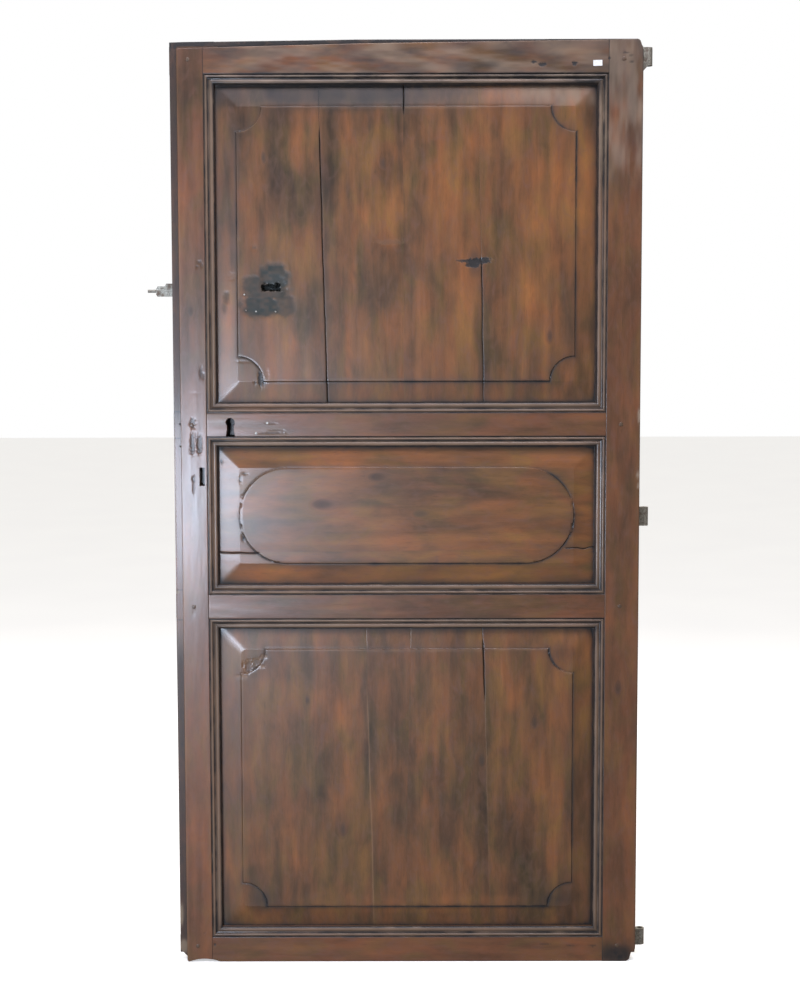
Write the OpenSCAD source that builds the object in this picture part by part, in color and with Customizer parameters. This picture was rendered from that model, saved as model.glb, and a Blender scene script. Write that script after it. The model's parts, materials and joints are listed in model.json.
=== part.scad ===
// Framed and panelled wooden door leaf with forged eye hinges, a drop latch
// and a rim lock. The leaf stands upright: X runs across its width towards the
// hinges, Y runs from its panelled face to its back, Z runs up. The origin is
// the middle of the bottom hinge eye, on the line that the leaf swings about.
// Every length below is measured in the leaf's own corner: from its closing
// edge, from its panelled face and from its foot.

/* [Leaf] */
// Width of the leaf, edge to edge
leaf_w = 1055; // [1040:5:1090]
// Height of the leaf
leaf_h = 2100; // [2080:5:2140]
// Thickness of the stiles and rails
leaf_t = 42; // [40:1:46]
// Width of the closing lip left behind the rebate
lip_w = 18; // [10:1:24]
// Depth of the rebates from the panelled face
rebate_t = 20; // [16:1:24]
// Height of the top rebate at the closing side
top_rebate_far = 18; // [10:1:24]
// Height of the top rebate at the hinge side
top_rebate_near = 4; // [2:1:10]

/* [Stiles and rails] */
// Width of each stile up to its panels
stile_w = 100; // [96:1:110]
// Height of the top rail
top_rail_h = 101; // [90:1:120]
// Height above the foot of the underside of the lock rail
lock_rail_z = 1193; // [1180:1:1200]
// Height of the lock rail
lock_rail_h = 99; // [95:1:110]
// Height above the foot of the underside of the middle rail
middle_rail_z = 778; // [760:1:790]
// Height of the middle rail
middle_rail_h = 101; // [95:1:110]
// Height of the bottom rail
bottom_rail_h = 81; // [76:1:100]
// Thickness of the tenons
tenon_t = 14; // [12:1:16]
// Depth of the tenons from the panelled face
tenon_y = 14; // [13:1:15]
// Shoulder left above and below the outermost tenons
tenon_shoulder = 16; // [12:1:20]
// Radius of the pegs through the tenons
peg_r = 4.5; // [4:0.5:6]
// Distance of the pegs from the outer edge of a stile
peg_in = 43; // [40:1:50]

/* [Moulding] */
// Width of the moulding that runs round each panel
mould_w = 23; // [22:1:26]
// Depth of the moulding beside the panel
mould_t = 11; // [10:0.5:12]
// Radius of the thin outer bead
bead_r = 3.1; // [2.5:0.1:3.3]
// Radius of the broad inner round
round_r = 6.4; // [5:0.1:7]

/* [Panels] */
// Width of the sloping border of a panel
bevel_w = 48; // [40:1:52]
// Depth of the sloping border beside the moulding
bevel_low_y = 15; // [14:0.5:16]
// Depth of the sloping border beside the field
bevel_high_y = 7; // [6:0.5:8]
// Depth of the raised field
field_y = 4.5; // [3:0.5:5]
// Radius of the hollow corners of the upper and lower fields
corner_r = 56; // [40:1:70]
// Depth of the back of the panels
panel_back_y = 31; // [29:1:34]
// Depth of the panel groove
groove_y = 15; // [15:0.5:16]
// Width of the panel groove
groove_t = 8; // [7:0.5:9]
// How far the groove goes into the frame
groove_d = 12; // [10:1:14]
// Width of the open crack in the upper panel
open_crack = 3; // [1:0.5:5]
// Width of the other joints between boards
board_gap = 0.6; // [0.4:0.1:1]
// Depth from which the boards of a panel lap over each other
lap_y = 19; // [18:1:21]
// Width of that lap
lap_w = 5; // [4:1:8]

/* [Hinges] */
// Outer radius of the hinge eyes
eye_r = 10; // [9:0.5:11]
// Radius of the hole in the hinge eyes
eye_hole_r = 6; // [5:0.5:6]
// Distance of the hinge line beyond the hinge edge
eye_out = 17; // [14:1:20]
// Height of the middle of the bottom hinge eye
bottom_eye_z = 43; // [40:1:60]
// Height of the middle of the middle hinge eye
middle_eye_z = 1030; // [1000:1:1050]
// Height of the middle of the top hinge eye
top_eye_z = 2066; // [2050:1:2070]
// Length of the bottom, middle and top hinge eyes
eye_len = [38, 43, 40];
// Length of a hinge leaf on the back of its stile
hinge_leaf_l = 94; // [80:1:98]
// Thickness of the hinge iron
hinge_t = 4; // [3:0.5:4]

/* [Latch] */
// Height of the middle of the latch bar
latch_z = 1547; // [1540:1:1560]
// Distance of the latch pivot from the closing edge
latch_pivot_x = 300; // [290:1:320]
// Height of the latch bar
latch_h = 22; // [20:1:24]
// Thickness of the latch bar
latch_t = 8; // [7:1:9]
// How far the latch nose reaches beyond the closing edge
latch_out = 59; // [50:1:60]
// Room for the latch bar to rise in its keeper
latch_lift = 32; // [30:1:36]

/* [Lock] */
// Distance of the keyhole from the closing edge
key_x = 130; // [126:1:132]
// Height of the middle of the keyhole
key_z = 1237; // [1234:1:1240]
// Length of the lock case
lock_l = 160; // [150:1:170]
// Height of the lock case
lock_h = 108; // [104:1:110]
// Depth of the lock case
lock_d = 24; // [22:1:28]
// Distance of the lock case from the closing edge
lock_x = 4; // [3:1:6]
// Height above the foot of the underside of the lock case
lock_z = 1184; // [1182:1:1186]
// Height of the lock bolt
bolt_h = 22; // [20:1:22]
// Thickness of the lock bolt
bolt_t = 10; // [8:1:11]

/* [Hidden] */

$fn = 48;
wood = "#70503c";
pale_wood = "#7d583f";
iron = "#4b4a45";
nail_iron = "#6d6e70";
paper = "#f0f0ea";

eps = 1;                       // overshoot of cutting bodies
fit = 0.3;                     // gap left between pieces that move past each other
panel_play = 1;                // gap round a panel inside its frame
axis_at = [leaf_w + eye_out, leaf_t + eye_r, bottom_eye_z];

shoulder = stile_w - mould_w;  // distance of the rail shoulders from the leaf's edge
top_open = [lock_rail_z + lock_rail_h, leaf_h - top_rail_h];
middle_open = [middle_rail_z + middle_rail_h, lock_rail_z];
bottom_open = [bottom_rail_h, middle_rail_z];
openings = [bottom_open, middle_open, top_open];

// Tenons, from underside to top
top_tenon = [leaf_h - top_rail_h + mould_w, leaf_h - tenon_shoulder];
lock_tenon = [lock_rail_z + mould_w, lock_rail_z + lock_rail_h - mould_w];
middle_tenon = [middle_rail_z + mould_w, middle_rail_z + middle_rail_h - mould_w];
bottom_tenon = [tenon_shoulder, bottom_rail_h - mould_w];
tenons = [bottom_tenon, middle_tenon, lock_tenon, top_tenon];

// Joints between panel boards: place at the foot, place at the head, gap
top_joints = [[349, 332, open_crack], [522, 522, board_gap], [702, 688, board_gap]];
bottom_joints = [[451, 434, board_gap], [524, 536, board_gap], [721, 700, board_gap]];
// Joint across the middle panel: height at the closing side, height at the hinge side
middle_joint = [950, 962];

// Broken opening behind the lost latch handle
hole_x = [199, 257];
hole_z = [1544, 1568];
// Blind slot of an older latch in the closing stile
slot_x = 65;
slot_z = 1125.5;
slot_size = [9, 41];
slot_t = 30;
keyhole_r = 9.5;               // round head of the keyhole
keyhole_waist = 14;            // width below the head
keyhole_foot = 18.5;           // width at the bottom, worn wide by keys
keyhole_h = 41;                // height over all

latch_y = leaf_t + 2.3;        // side of the latch bar that faces the leaf
keeper_x = 30;
keeper_w = 20;
bolt_y = leaf_t + 5;
bolt_z = key_z + 24;
bolt_l = 128;
latch_plate_l = 112;           // from the pivot towards the closing edge
latch_plate_end = 32;          // from the pivot the other way
latch_plate_h = 56;
pin_r = 4;                     // latch pivot
pin_gap = 0.05;                // running fit of the latch bar on its pivot
nail_r = 2.2;
nail_head_r = 6;

// ---------------------------------------------------------------- helpers

// Puts a piece drawn in the leaf's corner into the frame of the part
module piece(tone) {
  translate(-axis_at) color(tone) children();
}

// Outline in X and Z, from one depth to another
module upright(from, to) {
  translate([0, to, 0]) rotate([90, 0, 0]) linear_extrude(to - from) children();
}

// Plain rectangle in X and Z between two corners
module rect(x, z) {
  translate([x[0], z[0]]) square([x[1] - x[0], z[1] - z[0]]);
}

// A profile carried along each side of a panel opening. Its X runs from the
// sight line into the opening and its Y runs into the leaf.
module along_closing(z) {
  translate([stile_w, 0, z[0]]) linear_extrude(z[1] - z[0]) children();
}
module along_hinged(z) {
  translate([leaf_w - stile_w, 0, z[0]]) mirror([1, 0, 0])
    linear_extrude(z[1] - z[0]) children();
}
module along_foot(z) {
  translate([leaf_w, 0, z]) rotate([0, -90, 0]) linear_extrude(leaf_w) children();
}
module along_head(z) {
  translate([leaf_w, 0, z]) mirror([0, 0, 1]) rotate([0, -90, 0])
    linear_extrude(leaf_w) children();
}

// Nail driven along +Y: domed head in front of the surface, shank behind it
module nail(shank) {
  rotate([-90, 0, 0]) {
    cylinder(r = nail_r, h = shank);
    intersection() {
      translate([0, 0, nail_head_r]) sphere(r = nail_head_r * 1.4);
      translate([0, 0, -2]) cylinder(r = nail_head_r, h = 2);
    }
  }
}

// ---------------------------------------------------------------- woodwork

// What is cut from the edge of a stile or rail to leave the moulding: a thin
// bead and a broad round between two quirks, with the panel groove behind
module moulding_cut() {
  bead_at = [2.2 + bead_r - mould_w, bead_r + 0.4];
  round_at = [round_r + 2 * bead_r + 4.4 - mould_w, round_r + 2.4];
  difference() {
    polygon([[-mould_w, -eps], [-mould_w, 2.6], [2 * bead_r + 3.4 - mould_w, 4.4],
             [round_at[0] + round_r, mould_t], [eps, mould_t], [eps, -eps]]);
    translate(bead_at) circle(bead_r);
    translate(round_at) circle(round_r);
  }
  translate([-groove_d, groove_y]) square([groove_d + eps, groove_t]);
}

// Outline of a rail between its shoulders, mitred where its mouldings meet
// those of the stiles; low and high are the edges, lined where a panel follows
module rail_outline(low, high, lined_low, lined_high) {
  near_low = lined_low ? low + mould_w : low;
  near_high = lined_high ? high - mould_w : high;
  polygon([[shoulder, near_low], [stile_w, low], [leaf_w - stile_w, low],
           [leaf_w - shoulder, near_low], [leaf_w - shoulder, near_high],
           [leaf_w - stile_w, high], [stile_w, high], [shoulder, near_high]]);
}

module tenon_outline(tenon) {
  rect([0, leaf_w], tenon);
}

// Step on the closing edge and on the top edge of the panelled face
module rebates() {
  upright(-eps, rebate_t) polygon([[-eps, -eps], [lip_w, -eps],
    [lip_w, leaf_h - top_rebate_far], [leaf_w + eps, leaf_h - top_rebate_near],
    [leaf_w + eps, leaf_h + eps], [-eps, leaf_h + eps]]);
}

// Corners and foot lost to wear
module losses() {
  upright(-eps, leaf_t + eps) {
    polygon([[-eps, -eps], [22, -eps], [22, 0], [0, 23], [-eps, 23]]);
    translate([58, -89]) circle(96, $fn = 180);
    polygon([[leaf_w + eps, 30], [leaf_w, 30], [leaf_w - 4, 23], [leaf_w - 11, 20],
             [leaf_w - 14, 4], [leaf_w - 22, 0], [leaf_w - 22, -eps], [leaf_w + eps, -eps]]);
    polygon([[leaf_w - 8, leaf_h], [leaf_w, leaf_h - 29], [leaf_w + eps, leaf_h - 29],
             [leaf_w + eps, leaf_h + eps], [leaf_w - 8, leaf_h + eps]]);
  }
}

// Pegs through every tenon, or the holes for them with a little clearance
module pegs(gap = 0) {
  for (tenon = tenons, x = [peg_in, leaf_w - peg_in])
    translate([x, -gap, (tenon[0] + tenon[1]) / 2]) rotate([-90, 0, 0])
      cylinder(r = peg_r + gap, h = leaf_t + 2 * gap);
}

module keyhole(from, to) {
  head_z = keyhole_h / 2 - keyhole_r;
  waist = keyhole_waist / 2;
  foot = keyhole_foot / 2;
  upright(from, to) translate([key_x, key_z]) {
    translate([0, head_z]) circle(keyhole_r);
    polygon([[-waist, head_z], [waist, head_z], [waist, -keyhole_r / 2], [foot, -keyhole_h / 2],
      [-foot, -keyhole_h / 2], [-waist, -keyhole_r / 2]]);
  }
}

// The rails' faces and tenons together, as they are let into the stiles
module rail_bodies() {
  upright(-eps, groove_y) {
    rail_outline(leaf_h - top_rail_h, leaf_h + eps, true, false);
    rail_outline(lock_rail_z, lock_rail_z + lock_rail_h, true, true);
    rail_outline(middle_rail_z, middle_rail_z + middle_rail_h, true, true);
    rail_outline(-eps, bottom_rail_h, false, true);
  }
  upright(tenon_y, tenon_y + tenon_t) for (tenon = tenons) tenon_outline(tenon);
}

// A rail: its face reaches to the stiles' mouldings in mitres, its back stops
// at a square shoulder, and a tenon goes through each stile
module rail(low, high, lined_low, lined_high, tenon) {
  difference() {
    union() {
      upright(0, groove_y) rail_outline(low, high, lined_low, lined_high);
      upright(0, leaf_t) rect([stile_w, leaf_w - stile_w], [low, high]);
      upright(tenon_y, tenon_y + tenon_t) tenon_outline(tenon);
    }
    if (lined_low) along_head(low) moulding_cut();
    if (lined_high) along_foot(high) moulding_cut();
    pegs(pin_gap);
    rebates();
    losses();
  }
}

module lock_stile() {
  piece(wood) difference() {
    upright(0, leaf_t) rect([0, stile_w], [0, leaf_h]);
    rail_bodies();
    for (open = openings) along_closing([open[0] - mould_w, open[1] + mould_w]) moulding_cut();
    pegs(pin_gap);
    rebates();
    losses();
    upright(-eps, slot_t) translate([slot_x, slot_z]) square(slot_size, center = true);
  }
}

module hinge_stile() {
  piece(wood) difference() {
    upright(0, leaf_t) rect([leaf_w - stile_w, leaf_w], [0, leaf_h]);
    rail_bodies();
    for (open = openings) along_hinged([open[0] - mould_w, open[1] + mould_w]) moulding_cut();
    pegs(pin_gap);
    rebates();
    losses();
  }
}

module top_rail() {
  piece(wood) rail(leaf_h - top_rail_h, leaf_h, true, false, top_tenon);
}

module lock_rail() {
  piece(wood) difference() {
    rail(lock_rail_z, lock_rail_z + lock_rail_h, true, true, lock_tenon);
    keyhole(-eps, leaf_t + eps);
  }
}

module middle_rail() {
  piece(wood) rail(middle_rail_z, middle_rail_z + middle_rail_h, true, true, middle_tenon);
}

module bottom_rail() {
  piece(wood) rail(0, bottom_rail_h, false, true, bottom_tenon);
}

module joint_pegs() {
  piece(pale_wood) difference() {
    pegs();
    rebates();
  }
}

// ---------------------------------------------------------------- panels

// What is cut away in front of the sloping border, down into the groove
module bevel_cut() {
  slope = (bevel_low_y - bevel_high_y) / bevel_w;
  polygon([[-groove_d, -eps], [-groove_d, bevel_low_y + slope * groove_d],
           [bevel_w, bevel_high_y], [bevel_w, -eps]]);
}

// Rectangle inside the sloping border
module inner_rect(open) {
  rect([stile_w + bevel_w, leaf_w - stile_w - bevel_w], open + [bevel_w, -bevel_w]);
}

// Field with a hollow quarter round at each corner
module hollow_field(open) {
  difference() {
    inner_rect(open);
    for (x = [stile_w + bevel_w, leaf_w - stile_w - bevel_w], z = open + [bevel_w, -bevel_w])
      translate([x, z]) circle(corner_r, $fn = 96);
  }
}

// Field with two half-round ends that fills the height between the borders
module round_field(open) {
  end_r = (open[1] - open[0]) / 2 - bevel_w;
  mid_z = (open[0] + open[1]) / 2;
  ends = [stile_w + bevel_w + end_r, leaf_w - stile_w - bevel_w - end_r];
  rect(ends, open + [bevel_w, -bevel_w]);
  for (x = ends) translate([x, mid_z]) circle(end_r, $fn = 120);
}

// Raised panel before it is cut into its boards; the child is its field
module panel(open) {
  tongue = groove_d - 2;
  difference() {
    union() {
      upright(groove_y + 0.2, groove_y + groove_t - 0.2)
        rect([stile_w - tongue, leaf_w - stile_w + tongue], open + [-tongue, tongue]);
      upright(field_y, panel_back_y)
        rect([stile_w + panel_play, leaf_w - stile_w - panel_play],
             open + [panel_play, -panel_play]);
    }
    along_closing([open[0] - groove_d, open[1] + groove_d]) bevel_cut();
    along_hinged([open[0] - groove_d, open[1] + groove_d]) bevel_cut();
    along_foot(open[0]) bevel_cut();
    along_head(open[1]) bevel_cut();
    upright(-eps, bevel_high_y) difference() {
      inner_rect(open);
      children();
    }
  }
}

// Upright board number i between two joints that may lean. Behind lap_y each
// joint lies lap_w further over and stays tight, so that no light comes through.
module board_outline(joints, i, open, lapped) {
  left = i == 0 ? [0, 0, 0] : joints[i - 1];
  right = i == len(joints) ? [leaf_w, leaf_w, 0] : joints[i];
  low = open[0] - groove_d;
  high = open[1] + groove_d;
  from = lapped && i > 0 ? lap_w + board_gap / 2 : left[2] / 2;
  to = lapped && i < len(joints) ? lap_w - board_gap / 2 : -right[2] / 2;
  polygon([[left[0] + from, low], [right[0] + to, low],
           [right[1] + to, high], [left[1] + from, high]]);
}

module upright_board(joints, i, open) {
  intersection() {
    panel(open) hollow_field(open);
    union() {
      upright(0, lap_y) board_outline(joints, i, open, false);
      upright(lap_y, leaf_t) board_outline(joints, i, open, true);
    }
  }
}

module top_panel_board(i) {
  piece(i % 2 == 0 ? wood : pale_wood) difference() {
    upright_board(top_joints, i, top_open);
    upright(0, leaf_t) rect(hole_x, hole_z);
  }
}

module bottom_panel_board(i) {
  piece(i % 2 == 0 ? wood : pale_wood) upright_board(bottom_joints, i, bottom_open);
}

// side is -1 for the board below the joint and 1 for the board above it
module middle_panel_board(side) {
  edge = side < 0 ? middle_open[0] - groove_d : middle_open[1] + groove_d;
  gap = side * board_gap / 2;
  piece(side < 0 ? wood : pale_wood) intersection() {
    panel(middle_open) round_field(middle_open);
    upright(0, leaf_t) polygon([[0, middle_joint[0] + gap], [leaf_w, middle_joint[1] + gap],
                                [leaf_w, edge], [0, edge]]);
  }
}

// ---------------------------------------------------------------- hinges

// Hinge leaf nailed to the back of the stile, with an eye rolled at its end
module hinge(eye_z, eye_l, heel = 0) {
  axis_x = leaf_w + eye_out;
  end_r = 13;
  far_x = leaf_w - hinge_leaf_l + end_r;
  piece(iron) difference() {
    union() {
      upright(leaf_t, leaf_t + hinge_t) {
        polygon([[far_x, eye_z - end_r], [leaf_w, eye_z - eye_l / 2], [axis_x, eye_z - eye_l / 2],
                 [axis_x, eye_z + eye_l / 2], [leaf_w, eye_z + eye_l / 2], [far_x, eye_z + end_r]]);
        translate([far_x, eye_z]) circle(end_r);
        if (heel > 0)
          polygon([[leaf_w - 6, eye_z - eye_l / 2], [leaf_w - 6, eye_z - eye_l / 2 - heel],
                   [leaf_w + 4, eye_z - eye_l / 2 - heel], [axis_x, eye_z - eye_l / 2]]);
      }
      translate([axis_x, leaf_t + eye_r, eye_z - eye_l / 2]) cylinder(r = eye_r, h = eye_l);
    }
    translate([axis_x, leaf_t + eye_r, eye_z - eye_l / 2 - eps])
      cylinder(r = eye_hole_r, h = eye_l + 2 * eps);
  }
}

module bottom_hinge() {
  hinge(bottom_eye_z, eye_len[0]);
}

module middle_hinge() {
  hinge(middle_eye_z, eye_len[1]);
}

module top_hinge() {
  hinge(top_eye_z, eye_len[2], heel = 14);
}

module hinge_nails() {
  piece(nail_iron) for (z = [bottom_eye_z, middle_eye_z, top_eye_z], x = [22, 50, 80])
    translate([leaf_w - x, leaf_t + hinge_t, z]) mirror([0, 1, 0]) nail(30);
}

// ---------------------------------------------------------------- latch

// Bar that drops into a catch on the jamb: a boss on the pivot, a plain shank,
// a raised collar at the edge of the leaf, a chamfered head and a thin nose
module latch_bar() {
  half = latch_h / 2;
  head_end = -latch_out + 19;
  boss_r = 17;
  nose_r = 3.4;
  piece(iron) difference() {
    union() {
      upright(latch_y, latch_y + latch_t) {
        polygon([[latch_pivot_x, latch_z - half], [14, latch_z - half], [8, latch_z - half - 3],
                 [head_end + 3, latch_z - half - 3], [head_end, latch_z - half + 1],
                 [head_end, latch_z + 3], [head_end + 4, latch_z + 9], [-20, latch_z + 9],
                 [-17, latch_z + 15], [8, latch_z + 15], [14, latch_z + half],
                 [latch_pivot_x, latch_z + half]]);
        translate([latch_pivot_x, latch_z]) circle(boss_r);
      }
      translate([-latch_out, latch_y + latch_t / 2, latch_z - 2]) rotate([0, 90, 0])
        cylinder(r = nose_r, h = 20);
    }
    translate([latch_pivot_x, latch_y - eps, latch_z]) rotate([-90, 0, 0])
      cylinder(r = pin_r + pin_gap, h = latch_t + 2 * eps);
  }
}

// Plate that carries the pivot and closes the back of the broken opening
module latch_plate() {
  piece(iron) difference() {
    upright(panel_back_y, panel_back_y + 3)
      rect([latch_pivot_x - latch_plate_l, latch_pivot_x + latch_plate_end],
           [latch_z - latch_plate_h / 2, latch_z + latch_plate_h / 2]);
    translate([latch_pivot_x, 0, latch_z]) rotate([-90, 0, 0]) cylinder(r = pin_r, h = leaf_t);
  }
}

// Shouldered stud: shank through the plate, collar that stands the bar clear
// of the stile, journal for the bar and a riveted head
module latch_pivot() {
  foot = panel_back_y - 18;
  plate_face = panel_back_y + 3;
  collar_end = latch_y - fit;
  journal_end = latch_y + latch_t + fit;
  piece(nail_iron) translate([latch_pivot_x, 0, latch_z]) rotate([-90, 0, 0])
    rotate_extrude() polygon([[0, foot], [pin_r, foot], [pin_r, plate_face], [9, plate_face],
      [9, collar_end], [pin_r, collar_end], [pin_r, journal_end], [8, journal_end],
      [6.5, journal_end + 3], [0, journal_end + 3.5]]);
}

// Staple that the bar rests in, with a nailed foot above and below
module latch_keeper() {
  rest_z = latch_z - latch_h / 2 - fit;
  open_z = rest_z + latch_h + latch_lift;
  arm = 8;
  foot_l = 26;
  deep = latch_y + latch_t + 1.7;
  piece(iron) translate([keeper_x, 0, 0]) rotate([90, 0, 90]) linear_extrude(keeper_w)
    polygon([[leaf_t, rest_z - arm - foot_l], [leaf_t + 3, rest_z - arm - foot_l],
             [leaf_t + 3, rest_z - arm], [deep + 4, rest_z - arm], [deep + 4, open_z + arm],
             [leaf_t + 3, open_z + arm], [leaf_t + 3, open_z + arm + foot_l],
             [leaf_t, open_z + arm + foot_l], [leaf_t, open_z], [deep, open_z],
             [deep, rest_z], [leaf_t, rest_z]]);
}

module latch_nails() {
  low = latch_z - latch_h / 2 - fit - 8;
  high = latch_z + latch_h / 2 - fit + latch_lift + 8;
  piece(nail_iron) {
    for (z = [low - 14, high + 14]) translate([keeper_x + keeper_w / 2, leaf_t + 3, z])
      mirror([0, 1, 0]) nail(30);
    for (x = [9 - latch_plate_l, latch_plate_end - 9], z = [-19, 19])
      translate([latch_pivot_x + x, panel_back_y + 3, latch_z + z]) mirror([0, 1, 0]) nail(18);
  }
}

// ---------------------------------------------------------------- lock

module lock_plate() {
  piece(iron) difference() {
    upright(leaf_t, leaf_t + 2) rect([lock_x, lock_x + lock_l], [lock_z, lock_z + lock_h]);
    keyhole(leaf_t - eps, leaf_t + 2 + eps);
  }
}

// Case of sheet iron, open towards the plate, with a window for the bolt. The
// key is used from the panelled face only, so the case has no keyhole.
module lock_cover() {
  wall = 2;
  piece(iron) difference() {
    upright(leaf_t + 2, leaf_t + lock_d)
      rect([lock_x, lock_x + lock_l], [lock_z, lock_z + lock_h]);
    upright(leaf_t + 2 - eps, leaf_t + lock_d - wall)
      rect([lock_x + wall, lock_x + lock_l - wall], [lock_z + wall, lock_z + lock_h - wall]);
    upright(bolt_y - fit, bolt_y + bolt_t + fit)
      rect([lock_x - eps, lock_x + wall + eps], [bolt_z - fit, bolt_z + bolt_h + fit]);
  }
}

// Bolt with a rounded talon notch that the key turns in
module lock_bolt() {
  piece(nail_iron) upright(bolt_y, bolt_y + bolt_t) difference() {
    rect([lock_x, lock_x + bolt_l], [bolt_z, bolt_z + bolt_h]);
    translate([key_x - 6, bolt_z - 4]) circle(12);
  }
}

// Staple inside the case that carries the tail of the bolt
module bolt_guide() {
  guide_x = 66;
  guide_w = 12;
  roof_y = bolt_y + bolt_t + fit;
  piece(iron) upright(leaf_t + 2, roof_y + 3) rect([guide_x, guide_x + guide_w],
    [bolt_z - fit - 4, bolt_z - fit]);
  piece(iron) upright(roof_y, roof_y + 3) rect([guide_x, guide_x + guide_w],
    [bolt_z - fit, bolt_z + bolt_h + fit]);
}

// Bowed leaf spring over the bolt
module bolt_spring() {
  spring_l = 70;
  bow = 2;
  bend_r = (spring_l * spring_l / 4 + bow * bow) / (2 * bow);
  roof_z = lock_z + lock_h - 2;
  piece(nail_iron) upright(bolt_y, bolt_y + bolt_t) intersection() {
    translate([lock_x + 45, roof_z - bend_r]) difference() {
      circle(bend_r, $fn = 360);
      circle(bend_r - 1.2, $fn = 360);
    }
    rect([lock_x + 45 - spring_l / 2, lock_x + 45 + spring_l / 2], [roof_z - 4, roof_z]);
  }
}

// Ring ward round the key, open below for the bit
module lock_ward() {
  piece(nail_iron) difference() {
    upright(leaf_t + 2, leaf_t + 9) translate([key_x, key_z + keyhole_h / 2 - keyhole_r])
      difference() {
        circle(12);
        circle(10.5);
      }
    upright(leaf_t, leaf_t + 12) rect([key_x - 8, key_x + 8], [key_z - 20, key_z + 6]);
  }
}

// Nails through the case, one of them set low to clear the bolt
module lock_nails() {
  inset = 10;
  low_z = 60;
  piece(nail_iron)
    for (at = [[inset, inset], [inset, low_z], [lock_l - inset, inset],
               [lock_l - inset, lock_h - inset]])
      translate([lock_x + at[0], leaf_t + lock_d, lock_z + at[1]])
        mirror([0, 1, 0]) nail(46);
}

// ---------------------------------------------------------------- face

// Nails left in the face where the latch plate and its handle were, and others
module face_nails() {
  stub_r = 1.8;
  piece(nail_iron) for (at = [[164, 1535], [168, 1500], [190, 1497], [234, 1497]])
    translate([at[0], field_y - 1, at[1]]) rotate([-90, 0, 0]) cylinder(r = stub_r, h = 14);
  piece(nail_iron) for (at = [[213, 1247], [188, 1224]])
    translate([at[0], -1, at[1]]) rotate([-90, 0, 0]) cylinder(r = 2.6, h = 20);
}

module paper_label() {
  piece(paper) upright(-0.3, 0) translate([leaf_w - 102, 2049]) rotate(2)
    square([21, 15], center = true);
}

lock_stile();
hinge_stile();
top_rail();
lock_rail();
middle_rail();
bottom_rail();
top_panel_board(0);  // top_panel_board_1
top_panel_board(1);  // top_panel_board_2
top_panel_board(2);  // top_panel_board_3
top_panel_board(3);  // top_panel_board_4
middle_panel_board(-1);  // middle_panel_lower_board
middle_panel_board(1);  // middle_panel_upper_board
bottom_panel_board(0);  // bottom_panel_board_1
bottom_panel_board(1);  // bottom_panel_board_2
bottom_panel_board(2);  // bottom_panel_board_3
bottom_panel_board(3);  // bottom_panel_board_4
joint_pegs();
bottom_hinge();
middle_hinge();
top_hinge();
hinge_nails();
latch_bar();
latch_plate();
latch_pivot();
latch_keeper();
latch_nails();
lock_plate();
lock_cover();
lock_bolt();
bolt_guide();
bolt_spring();
lock_ward();
lock_nails();
face_nails();
paper_label();
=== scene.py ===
# %% [markdown]
# # An old frame-and-panel door leaf
# Four rails are tenoned between two stiles, and raised panels float in grooves between them.
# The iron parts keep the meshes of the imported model. The woodwork is made again here as
# surfaces worked out with numpy, because hand-planed wood has soft arrises, dents, open joints
# and hollows that a plain solid doesn't have.
# %% Load the frame
import json
import bpy
import numpy as np
from mathutils import Matrix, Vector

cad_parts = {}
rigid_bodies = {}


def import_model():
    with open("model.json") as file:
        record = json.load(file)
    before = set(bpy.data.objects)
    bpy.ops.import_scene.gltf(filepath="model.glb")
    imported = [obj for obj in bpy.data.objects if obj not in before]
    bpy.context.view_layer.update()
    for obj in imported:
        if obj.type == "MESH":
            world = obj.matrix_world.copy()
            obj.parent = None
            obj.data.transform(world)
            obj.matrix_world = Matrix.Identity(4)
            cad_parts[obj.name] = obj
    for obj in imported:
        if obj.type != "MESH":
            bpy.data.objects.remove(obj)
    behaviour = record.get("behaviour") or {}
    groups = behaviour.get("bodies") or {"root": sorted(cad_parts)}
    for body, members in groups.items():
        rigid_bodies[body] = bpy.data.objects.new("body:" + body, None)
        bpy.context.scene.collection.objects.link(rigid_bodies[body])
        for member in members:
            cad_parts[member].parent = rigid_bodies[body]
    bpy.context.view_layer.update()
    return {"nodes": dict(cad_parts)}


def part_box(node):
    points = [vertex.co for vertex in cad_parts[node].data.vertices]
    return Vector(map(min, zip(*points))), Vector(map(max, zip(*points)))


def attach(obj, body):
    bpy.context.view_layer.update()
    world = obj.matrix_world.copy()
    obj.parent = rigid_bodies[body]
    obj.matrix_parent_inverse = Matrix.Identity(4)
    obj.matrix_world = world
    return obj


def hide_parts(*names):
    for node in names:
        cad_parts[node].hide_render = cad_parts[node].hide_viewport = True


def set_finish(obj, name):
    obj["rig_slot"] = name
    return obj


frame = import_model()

# %% [markdown]
# ## Measures
# A joiner measures a leaf from its closing edge, its face and its foot. All the shapes below
# are in millimetres in that corner: x across the leaf, y into it, z up. The corner and the
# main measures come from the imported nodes.
# %% Measures of the leaf
MM = 0.001
CORNER = np.array([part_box("lock_stile")[0].x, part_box("lock_stile")[0].y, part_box("bottom_rail")[0].z])


def edge(node, axis, side):
    """One face of a node's box in millimetres from the leaf's corner: side 0 is low, 1 is high."""
    return round(float((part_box(node)[side][axis] - CORNER[axis]) / MM), 2)


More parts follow.
